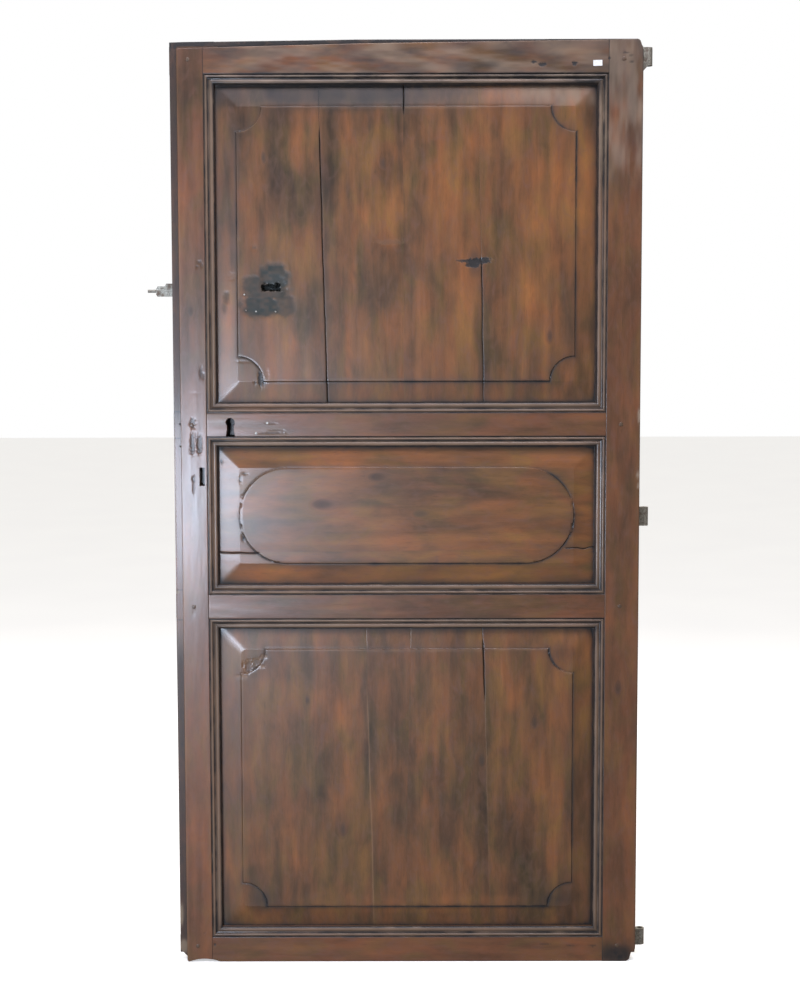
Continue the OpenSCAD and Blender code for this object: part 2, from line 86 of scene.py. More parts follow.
LEAF_W, LEAF_T, LEAF_H = edge("hinge_stile", 0, 1), edge("lock_stile", 1, 1), edge("top_rail", 2, 1)
STILE_W = edge("lock_stile", 0, 1)
SIGHT = (STILE_W, LEAF_W - STILE_W)  # sight lines beside every panel
OPENINGS = {
    "bottom": (edge("bottom_rail", 2, 1), edge("middle_rail", 2, 0)),
    "middle": (edge("middle_rail", 2, 1), edge("lock_rail", 2, 0)),
    "top": (edge("lock_rail", 2, 1), edge("top_rail", 2, 0)),
}
REBATE_W, REBATE_T = 18.0, 20.0
TOP_REBATE = (18.0, 4.0)  # height of the step along the top, at the closing edge and at the hinges
print("leaf", LEAF_W, LEAF_T, LEAF_H, "openings", OPENINGS)

# %% [markdown]
# ## Small tools for uneven surfaces
# Nothing that was planed by hand is flat. `hills` gives smooth random heights, and `layers` adds
# broad and fine ones. `ease` is the soft step, `fade` the soft edge and `bell` the soft bump
# that the changes below are made with.
# %% Uneven surfaces
LATTICE, OFFSET = (61, 67), (19.3, 23.7)


def ease(t):
    """3t^2 - 2t^3 between 0 and 1, flat at both ends."""
    t = np.clip(t, 0.0, 1.0)
    return t * t * (3.0 - 2.0 * t)


def fade(d, width):
    """e^(-|d| / width)."""
    return np.exp(-np.abs(d) / width)


def bell(d, width):
    """e^(-(d / width)^2)."""
    return np.exp(-(d / width) ** 2)


def hills(a, b, step_a, step_b, seed):
    """Smooth heights from -1 to 1: seeded random heights on a lattice step_a by step_b apart,
    joined by the soft step both ways."""
    lattice = np.random.default_rng(seed).uniform(-1.0, 1.0, LATTICE)
    i, j = np.broadcast_arrays(a / step_a + OFFSET[0], b / step_b + OFFSET[1])
    i0, j0 = np.floor(i).astype(int), np.floor(j).astype(int)
    u, v = ease(i - i0), ease(j - j0)
    at = lambda p, q: lattice[(i0 + p) % LATTICE[0], (j0 + q) % LATTICE[1]]
    low = at(0, 0) * (1 - u) + at(1, 0) * u
    high = at(0, 1) * (1 - u) + at(1, 1) * u
    return low * (1 - v) + high * v


def layers(a, b, seed, *sizes):
    """Sum of hills, each given as its height and its two steps, with seeds that count up."""
    return sum(height * hills(a, b, *steps, seed + i) for i, (height, *steps) in enumerate(sizes))


def spot(x, z, cx, cz, rx, rz, soft=0.5):
    """1 inside an oval at (cx, cz) with half sizes rx and rz, easing to 0 outside its edge."""
    rho = np.hypot((x - cx) / rx, (z - cz) / rz)
    return ease((1.0 + soft - rho) / (2.0 * soft))


def rungs(start, stop, coarse, *fine):
    """Rising positions from start to stop, coarse apart, and closer in each span (from, to, step)."""
    close = [np.append(np.arange(a, b, s), b) for a, b, s in fine]
    plain = np.linspace(start, stop, int((stop - start) / coarse) + 2)
    for a, b, s in fine:
        plain = plain[(plain < a - 0.3 * coarse) | (plain > b + 0.3 * coarse)]
    every = np.unique(np.round(np.concatenate([plain, [start, stop], *close]), 3))
    return every[(every >= start) & (every <= stop)]


print("hills", round(float(hills(np.arange(500.0), 3.0, 7.0, 9.0, 1).std()), 3))

# %% [markdown]
# ## From rows of points to a closed piece
# Each piece of wood is a closed loop of points carried along the piece. The points of one loop
# are one row of an array, so a piece is an array of rows by points. Neighbouring rows are
# joined by triangles and each end is closed with one face.
# %% Skin over rows of points
MERGE, SHARP_DEG = 500, 38.0  # points are merged on a grid of this many to a millimetre


def skin(name, rows, creases=None, body="leaf", slot="frame_wood", **looks):
    """Makes a piece from rows of points in leaf millimetres. Each square is cut along one
    diagonal, or along the other where creases is true. Points in one place are merged, and
    triangles that lose their area are dropped. An end whose row runs out and back over the
    same points is closed already and gets no face. looks are values for each point."""
    n, m = rows.shape[:2]
    flat = rows.reshape(-1, 3)
    _, first, back = np.unique(np.round(flat * MERGE).astype(np.int64), axis=0, return_index=True,
                               return_inverse=True)
    back = back.reshape(-1)
    i, j = np.meshgrid(np.arange(n - 1), np.arange(m), indexing="ij")
    a, b = i * m + j, i * m + (j + 1) % m
    c, d = b + m, a + m
    turn = np.zeros((*a.shape, 1), bool) if creases is None else creases[..., None]
    one = np.where(turn, np.stack([a, b, d], -1), np.stack([a, b, c], -1))
    two = np.where(turn, np.stack([b, c, d], -1), np.stack([a, c, d], -1))
    tris = back[np.concatenate([one.reshape(-1, 3), two.reshape(-1, 3)])]
    tris = tris[(tris != np.roll(tris, 1, 1)).all(1)]
    caps = [back[np.arange(m)[::-1]], back[(n - 1) * m + np.arange(m)]]
    caps = [cap[cap != np.roll(cap, 1)] for cap in caps]
    caps = [cap for cap in caps if len(cap) != 2 * len(np.unique(cap)) - 2]
    corners = np.concatenate([tris.ravel(), *caps])
    sizes = np.concatenate([np.full(len(tris), 3), [len(cap) for cap in caps]])
    mesh = bpy.data.meshes.new(name)
    mesh.vertices.add(len(first))
    mesh.vertices.foreach_set("co", (flat[first] * MM + CORNER).astype(np.float32).ravel())
    mesh.loops.add(len(corners))
    mesh.loops.foreach_set("vertex_index", corners.astype(np.int32))
    mesh.polygons.add(len(sizes))
    mesh.polygons.foreach_set("loop_start", np.append(0, np.cumsum(sizes)[:-1]).astype(np.int32))
    for look, values in looks.items():
        values = np.broadcast_to(values, (n, m, 3)).reshape(-1, 3)[first]
        mesh.attributes.new(look, "FLOAT_VECTOR", "POINT").data.foreach_set(
            "vector", values.astype(np.float32).ravel())
    mesh.update(calc_edges=True)
    mesh.validate()
    mesh.polygons.foreach_set("use_smooth", np.ones(len(mesh.polygons), bool))
    mesh.set_sharp_from_angle(angle=np.radians(SHARP_DEG))
    piece = bpy.data.objects.new(name, mesh)
    bpy.context.scene.collection.objects.link(piece)
    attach(piece, body)
    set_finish(piece, slot)
    print(name, len(mesh.vertices), "points", len(mesh.polygons), "faces")
    return piece


# %% [markdown]
# ## Marks of age
# A waxed door goes dark where dirt and old wax collect, pale where hands and cloths rub it, and
# blue-black where iron has touched the tannin in the wood. Painted shade is laid on too, in the
# creases and hollows and under the top rail, and painted highlights and sheen on crests and
# edges. Each piece carries these as values at its points, and the wood material reads them.
# `marks` holds dirt with painted shade, rubbing with painted highlights, and iron stain; `tones`
# holds the drift from dark to warm wood (with painted shadow under the top rail), bare raw wood
# (with a painted sheen on the top border), and end grain.
# %% Places that time has marked, and places of painted shadow
TONE_AND_SHADOW_PLACES = [  # x, z, half width, half height, strength: dark (-) or warm (+) wood
    # (400, 1977) darkens the top border under the top rail: painted shadow with dirt
    (400, 1977, 280, 26, -1.2), (240, 1800, 110, 130, -0.5), (52, 1850, 40, 230, -0.5),
    (52, 1500, 40, 200, -0.4), (527, 100, 380, 22, -0.5), (560, 300, 300, 200, -0.25),
    (1000, 2030, 60, 50, -0.5), (250, 1775, 34, 75, -0.9), (195, 1925, 60, 40, -0.7),
    (352, 1790, 16, 120, -0.9), (522, 1918, 30, 40, -1.2), (540, 1860, 40, 80, -0.6),
    (536, 1677, 40, 60, -0.7), (466, 1540, 38, 36, -0.8), (353, 1480, 14, 26, -0.8),
    (292, 1487, 34, 40, -0.9), (632, 1560, 18, 90, -0.9), (805, 1610, 30, 46, -0.6),
    (750, 1825, 12, 55, -0.8), (122, 1975, 26, 30, -0.7), (939, 1945, 26, 40, -0.8),
    (702, 1450, 12, 110, -0.6), (473, 1722, 42, 56, 1.1), (462, 1850, 50, 46, 0.6),
    (275, 1850, 34, 46, 0.8), (312, 1629, 24, 70, 0.6), (124, 1505, 26, 120, 1), (121, 1800, 24, 90, 0.5),
    (619, 1750, 44, 110, 0.6), (657, 1505, 26, 80, 0.8), (801, 1495, 52, 90, 0.9),
    (929, 1770, 28, 150, 0.8), (850, 1700, 60, 120, 0.4), (560, 1480, 60, 120, 0.4),
    (220, 900, 110, 22, 1.1), (560, 900, 240, 20, 0.9), (850, 900, 110, 20, 0.8),
    (380, 1168, 200, 20, 0.8), (780, 1160, 120, 20, 0.5), (540, 985, 190, 30, 0.5),
    (600, 1110, 110, 18, -0.5), (250, 1035, 110, 50, -0.4), (760, 1030, 80, 20, -0.5),
    (225, 620, 60, 60, 0.7), (332, 437, 28, 110, -0.8), (435, 531, 22, 90, -0.8),
    (540, 400, 50, 120, 0.5), (225, 165, 90, 60, -0.8), (763, 600, 70, 120, 0.7),
    (757, 303, 26, 60, -0.7), (700, 280, 16, 110, -0.7), (850, 165, 80, 60, -0.9),
    (300, 690, 110, 50, -0.5), (600, 330, 80, 120, -0.3), (870, 500, 34, 200, 0.5),
    (48, 1990, 26, 70, -0.6), (47, 1790, 20, 120, 0.35), (1008, 1960, 30, 90, -0.5),
    (996, 1700, 22, 130, 0.6), (1012, 1350, 30, 200, 0.3), (1012, 300, 26, 200, 0.3),
    (1010, 20, 44, 24, -1.6), (720, 400, 250, 330, -0.45), (1010, 900, 40, 230, -0.5),
    (480, 420, 60, 300, -0.3), (932, 420, 20, 300, -0.3), (230, 1800, 120, 110, -0.5),
    # (360, 1977) darkens the top border under the top rail: painted shadow with dirt
    (540, 1690, 180, 260, -0.3), (360, 1977, 230, 26, -0.8), (440, 2050, 30, 22, -0.9),
    (730, 2050, 60, 22, -0.9), (124, 1650, 20, 260, -0.5), (50, 1550, 34, 170, -0.5),
    (530, 828, 420, 30, -0.4), (560, 1240, 380, 24, -0.3), (60, 180, 26, 150, 0.5),
    (1010, 1380, 30, 50, -0.5), (52, 1390, 30, 60, -0.5), (600, 130, 260, 20, 0.6),
]
DENTS = [  # x, z, half width, half height, depth
    (45, 1246, 6, 11, 2.6), (44, 1200, 5, 23, 2.8), (60, 1198, 6, 20, 3.2), (52, 1216, 3, 10, 1.6),
    (46, 1120, 4, 9, 2.4), (46, 1102, 3, 14, 1.8), (65, 1360, 4, 12, 1.8), (71, 1352, 3, 9, 1.5),
    (51, 1314, 12, 1.6, 0.4), (65, 1607, 6, 4, 1.5), (59, 1598, 3, 3, 1.4), (70, 1600, 2.5, 5, 1.4),
    (59, 68, 2, 2.5, 1.2), (82, 40, 3, 3, 1.6), (43, 815, 5, 3, 0.8), (812, 2046, 6, 3.5, 1.5),
    (830, 2040, 9, 4, 1.8), (902, 2043, 6, 5, 1.6), (979, 2054, 2, 2, 3), (1016, 2066, 10, 2, 1.6),
    (1027, 2060, 6, 2.4, 1.4), (1029, 2046, 7, 3, 1.6), (1012, 2050, 4, 2, 1.2), (1020, 10, 7, 6, 1.8),
    (1010, 20, 5, 4, 1.2), (1024, 78, 10, 1.5, 0.7), (848, 41, 14, 2.2, 0.9), (905, 38, 12, 2, 0.9),
    (955, 36, 10, 3, 1), (197, 1344, 4.5, 17, 1.8), (205, 1338, 3, 12, 1), (492, 1651, 34, 7, 0.7),
    (684, 1608, 26, 6, 2.6), (676, 1599, 14, 5, 2.2), (704, 1613, 12, 4, 1.6), (660, 1609, 18, 3, 1.4),
    (150, 1655, 20, 2.2, 0.8), (188, 1640, 8, 3, 0.9), (106, 1831, 2.5, 2.5, 1.2), (137, 1575, 7, 9, 0.5),
    (153, 694, 3, 6, 1.4), (165, 690, 8, 14, 1.8), (184, 700, 10, 8, 1.2), (200, 712, 8, 5, 0.8),
    (195, 690, 9, 4, 0.7), (150, 668, 12, 3, 0.9), (108, 1160, 3, 4, 1.6), (160, 1132, 8, 3, 1),
    (156, 985, 5, 6, 1.4), (150, 1118, 3, 8, 1.2), (186, 1338, 4, 5, 1), (214, 1352, 4, 14, 0.6),
    (162, 1385, 18, 3, 0.6), (222, 1224, 30, 2.2, 0.9), (236, 1231, 16, 1.8, 0.7),
    (222, 1246, 12, 2, 0.7),
]
KNOTS = [  # x, z, radius
    (210, 1839, 6), (476, 1826, 7), (460, 1124, 11), (335, 1062, 13), (681, 1606, 15), (118, 1505, 7),
    (250, 1540, 8), (560, 1040, 8), (700, 470, 8), (300, 610, 7), (820, 560, 7), (44, 1500, 6),
    (1010, 640, 8), (850, 1440, 7), (380, 310, 8),
]
IRON_SPOTS = [  # x, z, half width, half height, strength
    (232, 1572, 34, 30, 1), (198, 1556, 40, 22, 0.8), (216, 1540, 52, 16, 0.85), (204, 1508, 46, 24, 1),
    (252, 1512, 26, 26, 0.7), (122, 1530, 8, 14, 0.6),
]
KNOT_LENGTH, KNOT_RISE = 0.45, 30.0  # width over length of a knot, and shift of the wood in it


def dented(x, z):
    """Depth of the dents at each point, in millimetres: the deepest of the ovals, rubbed down to
    two fifths of the depth that the blow left."""
    depth = np.zeros(np.broadcast(x, z).shape)
    for cx, cz, rx, rz, deep in DENTS:
        if np.min(x) < cx + 2 * rx and np.max(x) > cx - 2 * rx:
            wobble = 1.0 + 0.35 * hills(x, z, 2.6, 2.6, int(cx + cz))
            depth = np.maximum(depth, 0.4 * deep * spot(x, z, cx, cz, rx * wobble, rz * wobble))
    return depth


def ironed(x, z):
    """Where iron has blackened the wood: soft places a little squarer than ovals (a power of 2.8
    in place of 2), with rough and blotched edges."""
    rag, square = 1.0 + layers(x, z, 31, (0.14, 13, 13), (0.06, 4, 4)), 2.8
    stain = np.zeros(np.broadcast(x, z).shape)
    for cx, cz, rx, rz, much in IRON_SPOTS:
        away = np.abs((x - cx) / (rx * rag)) ** square + np.abs((z - cz) / (rz * rag)) ** square
        stain = np.maximum(stain, much * ease((1.22 - away ** (1 / square)) / 0.5))
    return stain * (0.92 + 0.16 * hills(x, z, 9.0, 7.0, 34))


def toned(x, z, turned):
    """Slow drift between dark (-1) and warm (1) wood, longer along the grain, plus the places
    above; two of them, on the top border, are painted shadow with dirt under the top rail. turned
    is true where the grain runs across the leaf."""
    a, b = (z, x) if turned else (x, z)
    drift = layers(a, b, 41, (0.40, 34, 170), (0.34, 13, 110), (0.20, 75, 240))
    for cx, cz, rx, rz, much in TONE_AND_SHADOW_PLACES:
        rag = 1.0 + 0.35 * hills(x, z, 0.5 * rx + 3, 0.5 * rz + 3, int(cx * 3 + cz))
        drift = drift + 0.62 * much * spot(x, z, cx, cz, rx * rag, rz * rag, 0.75)
    return drift


def grained(x, y, z, turned, seed):
    """Place in the wood: across the grain, into it, and along it, in millimetres. Round a knot
    the grain parts like water round a stone: across moves to a(1 - r^2 / d^2)."""
    a, b = (z, x) if turned else (x, z)
    across, ring = np.array(a, float), np.zeros(np.shape(a))
    for kx, kz, r in KNOTS:
        ka, kb = (kz, kx) if turned else (kx, kz)
        da, db = a - ka, KNOT_LENGTH * (b - kb)
        near = np.maximum(da * da + db * db, 1e-6)
        across = across - da * np.minimum(r * r / near, 1.0)
        ring = np.maximum(ring, ease(1.3 - np.sqrt(near) / r))
    shift = np.random.default_rng(seed).uniform(0.0, 4000.0, 3)
    along = b + KNOT_RISE * ring
    return np.stack([across + shift[0], np.broadcast_to(y, across.shape) + shift[1], along + shift[2]],
                    -1), ring


print("dark or warm", len(TONE_AND_SHADOW_PLACES), "dents", len(DENTS), "knots", len(KNOTS))

# %% [markdown]
# ## The moulding
# The moulding is "stuck", which means that it is planed on the edge of the stile or rail
# itself: a thin bead, a quirk on each side of it, and a broad round that falls to the panel.
# Its section is a chain of two arcs, so it is enough to know the depth at each distance.
# %% Section of the moulding
MOULD_W, BEAD_R, ROUND_R = 23.0, 3.1, 6.4
bead_turn, round_turn = np.radians(np.linspace(17, 197, 9)), np.radians(np.linspace(35, 159.6, 13))
MOULD_S = np.concatenate([[-1.6, -0.7, -0.2, 0.0, 0.12, 0.5, 1.9], 5.3 - BEAD_R * np.cos(bead_turn),
                          [9.4, 10.8], 17.0 - ROUND_R * np.cos(round_turn)])
MOULD_D = np.concatenate([[0.0, 0.06, 0.3, 0.7, 2.2, 2.6, 2.6], 3.5 - BEAD_R * np.sin(bead_turn),
                          [4.4, 4.9], 8.8 - ROUND_R * np.sin(round_turn)])
GROOVE_IN, GROOVE_Y, GROOVE_END = 12.0, 15.0, 23.0
FLAT, MOULDED, WALL, GROOVE, BACK, OUTER = range(6)
print("moulding", len(MOULD_S), "points, deepest", round(float(MOULD_D.max()), 2))

# %% [markdown]
# ## Half sections of the stiles and rails
# The section of a stile or rail has two edges, and each is of one kind: lined with a moulding
# and a panel groove, plain, or rebated. Each kind is written once, as a path from the face
# over the edge to the back: how far in from the edge, how deep, the distance across the
# moulding, and what sort of surface it is.
# %% Edges of a section
AWAY = -9.0  # distance across the moulding, for points that aren't on it
SPLIT = 15.01  # depth at which the sides of a rail change from its mitred face to its square back


def arris(start, turn):
    """Quarter round of radius turn between the face and an edge's wall at start, in 5 points."""
    t = np.radians(np.linspace(0, 90, 5))
    return [(start + turn + 1.5, 0, AWAY, FLAT)] + [
        (start + turn * (1 - a), turn * (1 - b), AWAY, FLAT) for a, b in zip(np.sin(t), np.cos(t))]


def lined_edge():
    """Moulding, wall, panel groove and back arris of an edge that holds a panel."""
    face = [(MOULD_W - s, d, s, FLAT if s <= 0 else MOULDED) for s, d in zip(MOULD_S, MOULD_D)]
    wall = [(0, 10, MOULD_W, WALL), (0, GROOVE_Y, MOULD_W, WALL)]
    groove = [(i, d, MOULD_W, GROOVE) for i, d in ((0, GROOVE_Y), (GROOVE_IN, GROOVE_Y),
                                                   (GROOVE_IN, GROOVE_END), (0, GROOVE_END))]
    back = [(0, 32, AWAY, OUTER), (0, LEAF_T - 1.2, AWAY, OUTER), (0.4, LEAF_T - 0.4, AWAY, BACK),
            (1.4, LEAF_T, AWAY, BACK)]
    return np.array(face + wall + groove + back, float)


def plain_edge():
    """Worn round arris, straight wall and back arris of an outer edge."""
    walls = [(0, d, AWAY, OUTER) for d in (6, 14, SPLIT, 21, 28, 35, LEAF_T - 1.4)]
    return np.array(arris(0, 1.8) + walls
                    + [(0.4, LEAF_T - 0.4, AWAY, BACK), (1.5, LEAF_T, AWAY, BACK)], float)


def rebated_edge():
    """Arris of the step, its wall, the shelf behind and the lip's own arris."""
    walls = [(REBATE_W, d, AWAY, OUTER) for d in (4, 8, 12, 14, SPLIT, 17, 19, REBATE_T)]
    shelf = [(i, REBATE_T, AWAY, OUTER) for i in (17, 13, 9, 5, 1.4)]
    lip = [(0.4, 20.3, AWAY, OUTER), (0, 21.2, AWAY, OUTER)]
    lip += [(0, d, AWAY, OUTER) for d in (24, 28, 32, 36, LEAF_T - 1.6)]
    return np.array(arris(REBATE_W, 1.5) + walls + shelf + lip
                    + [(0.5, LEAF_T - 0.5, AWAY, BACK), (1.8, LEAF_T, AWAY, BACK)], float)


def section(first, second, width, face_steps):
    """Closed loop of points: across the face from the first edge to the second, over it, and
    back along the other side. Returns columns: across, depth, moulding distance, kind, side."""
    a, b = np.c_[first, -np.ones(len(first))], np.c_[second, np.ones(len(second))]
    b[:, 0] = width - b[:, 0]
    inner = face_steps[(face_steps > a[0, 0] + 0.4) & (face_steps < b[0, 0] - 0.4)]
    behind = np.linspace(b[-1, 0], a[-1, 0], 11)[1:-1]
    face, back = (np.stack(np.broadcast_arrays(across, depth, AWAY, kind, 0.0), -1)
                  for across, depth, kind in ((inner, 0.0, FLAT), (behind, LEAF_T, BACK)))
    return np.concatenate([face, b, back, a[::-1]])


print("edges", len(lined_edge()), len(plain_edge()), len(rebated_edge()))

# %% [markdown]
# ## How the woodwork takes its marks
# Dirt and painted shade lie in the quirks of the moulding, along shoulders and towards the
# corners of the openings, and dirt in dents. High arrises are rubbed, and the crests of the
# moulding carry painted highlights. The backs were never waxed as the faces were, so they count
# as bare. The same few lines serve every piece.
# %% Values at the points
POLISHED_TO = 1940.0  # height above which the cloth seldom comes
GREY_LOWER = 190.0  # how much lower the top's grey patches reach on the hinge stile
CORNERS = [(cx, cz) for pair in OPENINGS.values() for cz in pair for cx in SIGHT]


def looks_of(x, y, z, turned, seed, dirt_and_shade=0.0, rub_and_highlight=0.0, bare=0.0, grain_end=0.0, iron=0.0):
    """The three vectors that the wood material reads, from the place of each point."""
    grain, ring = grained(x, y, z, turned, seed)
    patch = 0.5 + 0.5 * hills(x, z, 47.0, 61.0, seed + 7)
    marks = np.stack(np.broadcast_arrays(np.clip(dirt_and_shade + 0.5 * ring, 0, 1),
                                         np.clip(rub_and_highlight, 0, 1) * (0.35 + 0.65 * patch), iron), -1)
    tones = np.stack(np.broadcast_arrays(toned(x, z, turned), bare, grain_end), -1)
    return {"grain": grain, "marks": marks, "tones": tones}


def greyed(x, z, turned):
    """The top of the leaf, out of reach of the polishing cloth, has gone grey in patches that
    are longer along the grain. They reach lower on the hinge stile."""
    a, b = (z, x) if turned else (x, z)
    reach = ease((z - POLISHED_TO + GREY_LOWER * (x > 960)) / 110) * ease((x - 70) / 60)
    return 0.6 * reach * np.clip(0.5 + layers(a, b, 61, (0.7, 17, 52), (0.35, 6, 26)), 0, 1)


def corner_darkening(x, z):
    """Darkening towards the twelve corners of the openings: e^(-d / 15 mm)."""
    return fade(np.min([np.hypot(x - cx, z - cz) for cx, cz in CORNERS], axis=0), 15.0)


def moulding_dirt_and_shade(s):
    """Dirt and painted shade across the moulding: dark in the shoulder quirk, between bead and
    round, and at the foot of the round."""
    return 0.95 * bell(s - 1.0, 1.2) + 0.75 * bell(s - 9.6, 2.0) + 1.1 * ease((s - 19.6) / 2.0) + 0.25


def moulding_rub_and_highlight(s):
    """Rubbing and painted highlight across the moulding: the tops of the bead and of the round."""
    return 0.40 * bell(s - 5.3, 1.6) + 0.35 * bell(s - 16.6, 2.6)


def frame_marks(x, y, z, s, keep, kind, face, turned, seed, more, worn):
    """Dirt with painted shade, rubbing with painted highlights, and bareness that stiles and rails
    share. keep is how much of the moulding is left, more is the dirt and painted shade that only
    this face has, and worn is where its arris is rubbed."""
    a, b = (z, x) if turned else (x, z)
    uneven = 0.85 + 0.35 * hills(a, b, 8, 30, seed + 5)
    # dirt and painted shade in the quirks and along the shoulder, darker towards the corners
    quirks = uneven * moulding_dirt_and_shade(np.minimum(s, keep)) * (s > -1.5)
    shoulder = 0.35 * fade(s + 3.0, 4.0) * (s > -8.5)
    dirt_and_shade = np.where(face, quirks + shoulder + more, 0.25) + 0.6 * corner_darkening(x, z) * (kind == MOULDED)
    rub_and_highlight = np.where(face, moulding_rub_and_highlight(s) * (s > 0) + 0.3 * worn, 0.0)
    bare = np.where((kind == BACK) | (y > LEAF_T - 2), 0.5 + 0.2 * hills(a, b, 18, 90, 66),
                    greyed(x, z, turned) + 0.5 * (kind == MOULDED))
    return dirt_and_shade, rub_and_highlight, bare


print("dirt in the quirk", round(float(moulding_dirt_and_shade(1.0)), 2))

# %% [markdown]
# ## Stiles
# A stile is carried upwards. Where it passes a rail its moulding is cut away at 45 degrees, so
# that the rail's moulding meets it in a mitre. The foot has lost its outer corners and the
# closing stile has a shallow arch there. The top has sunk a little at the closing corner, and
# the corner above the hinges is broken off. Rows of points near the ends follow that outline.
# %% Carry a stile upwards
# outlines of the worn foot and head: height or drop at places across the leaf
FOOT_X = np.array([0, 22, 22.1, 30, 40, 50, 58, 66, 76, 86, 94, 1033, 1041, 1044, 1051, LEAF_W])
FOOT_Z = np.array([23, 0, 0.1, 2.8, 5.3, 6.7, 7, 6.7, 5.3, 2.8, 0, 0, 4, 20, 23, 30])
HEAD_X, HEAD_DROP = np.array([0, 30, 420, LEAF_W - 8, LEAF_W]), np.array([6, 5, 0, 0, 29])
BEND = 70.0  # height over which the wood follows a worn end
END_PLACES = {1: (0, 22, 50, 75, 100), -1: (0, 25, 50, 78, 89, 100)}  # across, by moulded side
PLANED_OFF = 0.3  # lost from every face since it was new
SLOT = (65.0, 1125.5, 4.5, 20.5, 30.0)  # old latch slot: middle, half width, half height, depth
SHELF_TICKS = (1272, 1212, 865, 796)  # heights of the saw ticks in the shelf of the rebate
SHELF_REFLECTION = (9, 1000, 60, 270)  # where the shelf is painted lighter: a painted reflection of the window
FOOT_DIRT = (1012, 14, 36, 22)  # dark corner at the foot of the hinge stile
LIP_CHIPS = ((8, 30, 10, 16), (3, 105, 5, 26))  # broken places of the lip behind the rebate
SPLINTERS = ((1052, 1262, 3, 14), (1051, 1128, 3, 7), (1052, 1104, 3, 5), (4, 860, 3, 4))
GREY_DIRT = 60.0  # how much lower the stiles' grey dirt reaches than their bare wood


def head_drop(x, z):
    """How far the top of the leaf has sunk at x, easing in towards the top."""
    return np.interp(x, HEAD_X, HEAD_DROP) * ease((z - LEAF_H + BEND) / BEND)


def foot_rise(x, z, over=BEND):
    """How far the foot of the leaf is worn up at x, easing out over the given height."""
    return np.interp(x, FOOT_X, FOOT_Z) * (1 - ease(z / over))


def mitre(z):
    """How much of the moulding's width a stile keeps at height z: all of it beside a panel,
    none beside a rail, falling by a millimetre a millimetre between."""
    beyond = [np.maximum(np.maximum(lo - z, z - hi), 0.0) for lo, hi in OPENINGS.values()]
    return np.clip(MOULD_W - np.min(beyond, axis=0), 0.0, MOULD_W)


def stile(name, x0, loop, lined_at, heights, seed):
    """Closing or hinge stile: the loop's points at each height, cut to the mitre, with the top
    rebate as a step back of the face and the ends bent to the worn outline. A last row at each
    end gathers front and back points on a few shared places, which closes the end."""
    c, d, s, kind, side = loop.T[:, None, :]
    z = heights[:, None]
    keep = mitre(z)
    moulded = (kind == MOULDED) | (kind == WALL)
    depth = np.where((kind == MOULDED) & (s > keep), np.interp(keep, MOULD_S, MOULD_D), d)
    inset = np.where(lined_at > 0, STILE_W - c, c)
    inset = np.where(moulded, MOULD_W - np.minimum(s, keep), inset)
    inset = np.where((kind == GROOVE) & (keep < MOULD_W), 0.0, inset)
    x = x0 + np.where(side == lined_at, np.where(lined_at > 0, STILE_W - inset, inset), c)
    step_z, level = LEAF_H - np.interp(x, [0, LEAF_W], TOP_REBATE), LEAF_H - REBATE_W
    bend_z = LEAF_H - BEND
    up = np.where(z <= level, z + (step_z - level) * ease((z - bend_z) / (level - bend_z)),
                  step_z + (z - level) / REBATE_W * (LEAF_H - step_z))
    face = (kind == FLAT) | (kind == MOULDED)
    step_arris = np.where(face, 1.3 * fade(np.clip(level - z, 0, None), 0.6), 0)
    depth = np.maximum(depth, np.where(z > level, REBATE_T, step_arris))
    up = up + foot_rise(x, z) - head_drop(x, z)
    x, depth, up = (np.vstack([v[:1], v, v[-1:]]) for v in np.broadcast_arrays(x, depth, up))
    keep = np.vstack([keep[:1], keep, keep[-1:]])
    shared = np.array(END_PLACES[lined_at])
    for end, middle in ((0, LEAF_T / 2), (-1, (REBATE_T + LEAF_T) / 2)):
        x[end] = x0 + shared[np.abs(x[end][:, None] - x0 - shared).argmin(1)]
        depth[end] = middle
    up[0], up[-1] = np.interp(x[0], FOOT_X, FOOT_Z), LEAF_H - np.interp(x[-1], HEAD_X, HEAD_DROP)
    return age_stile(name, x, depth, up, s, kind, np.broadcast_to(keep, depth.shape), seed)


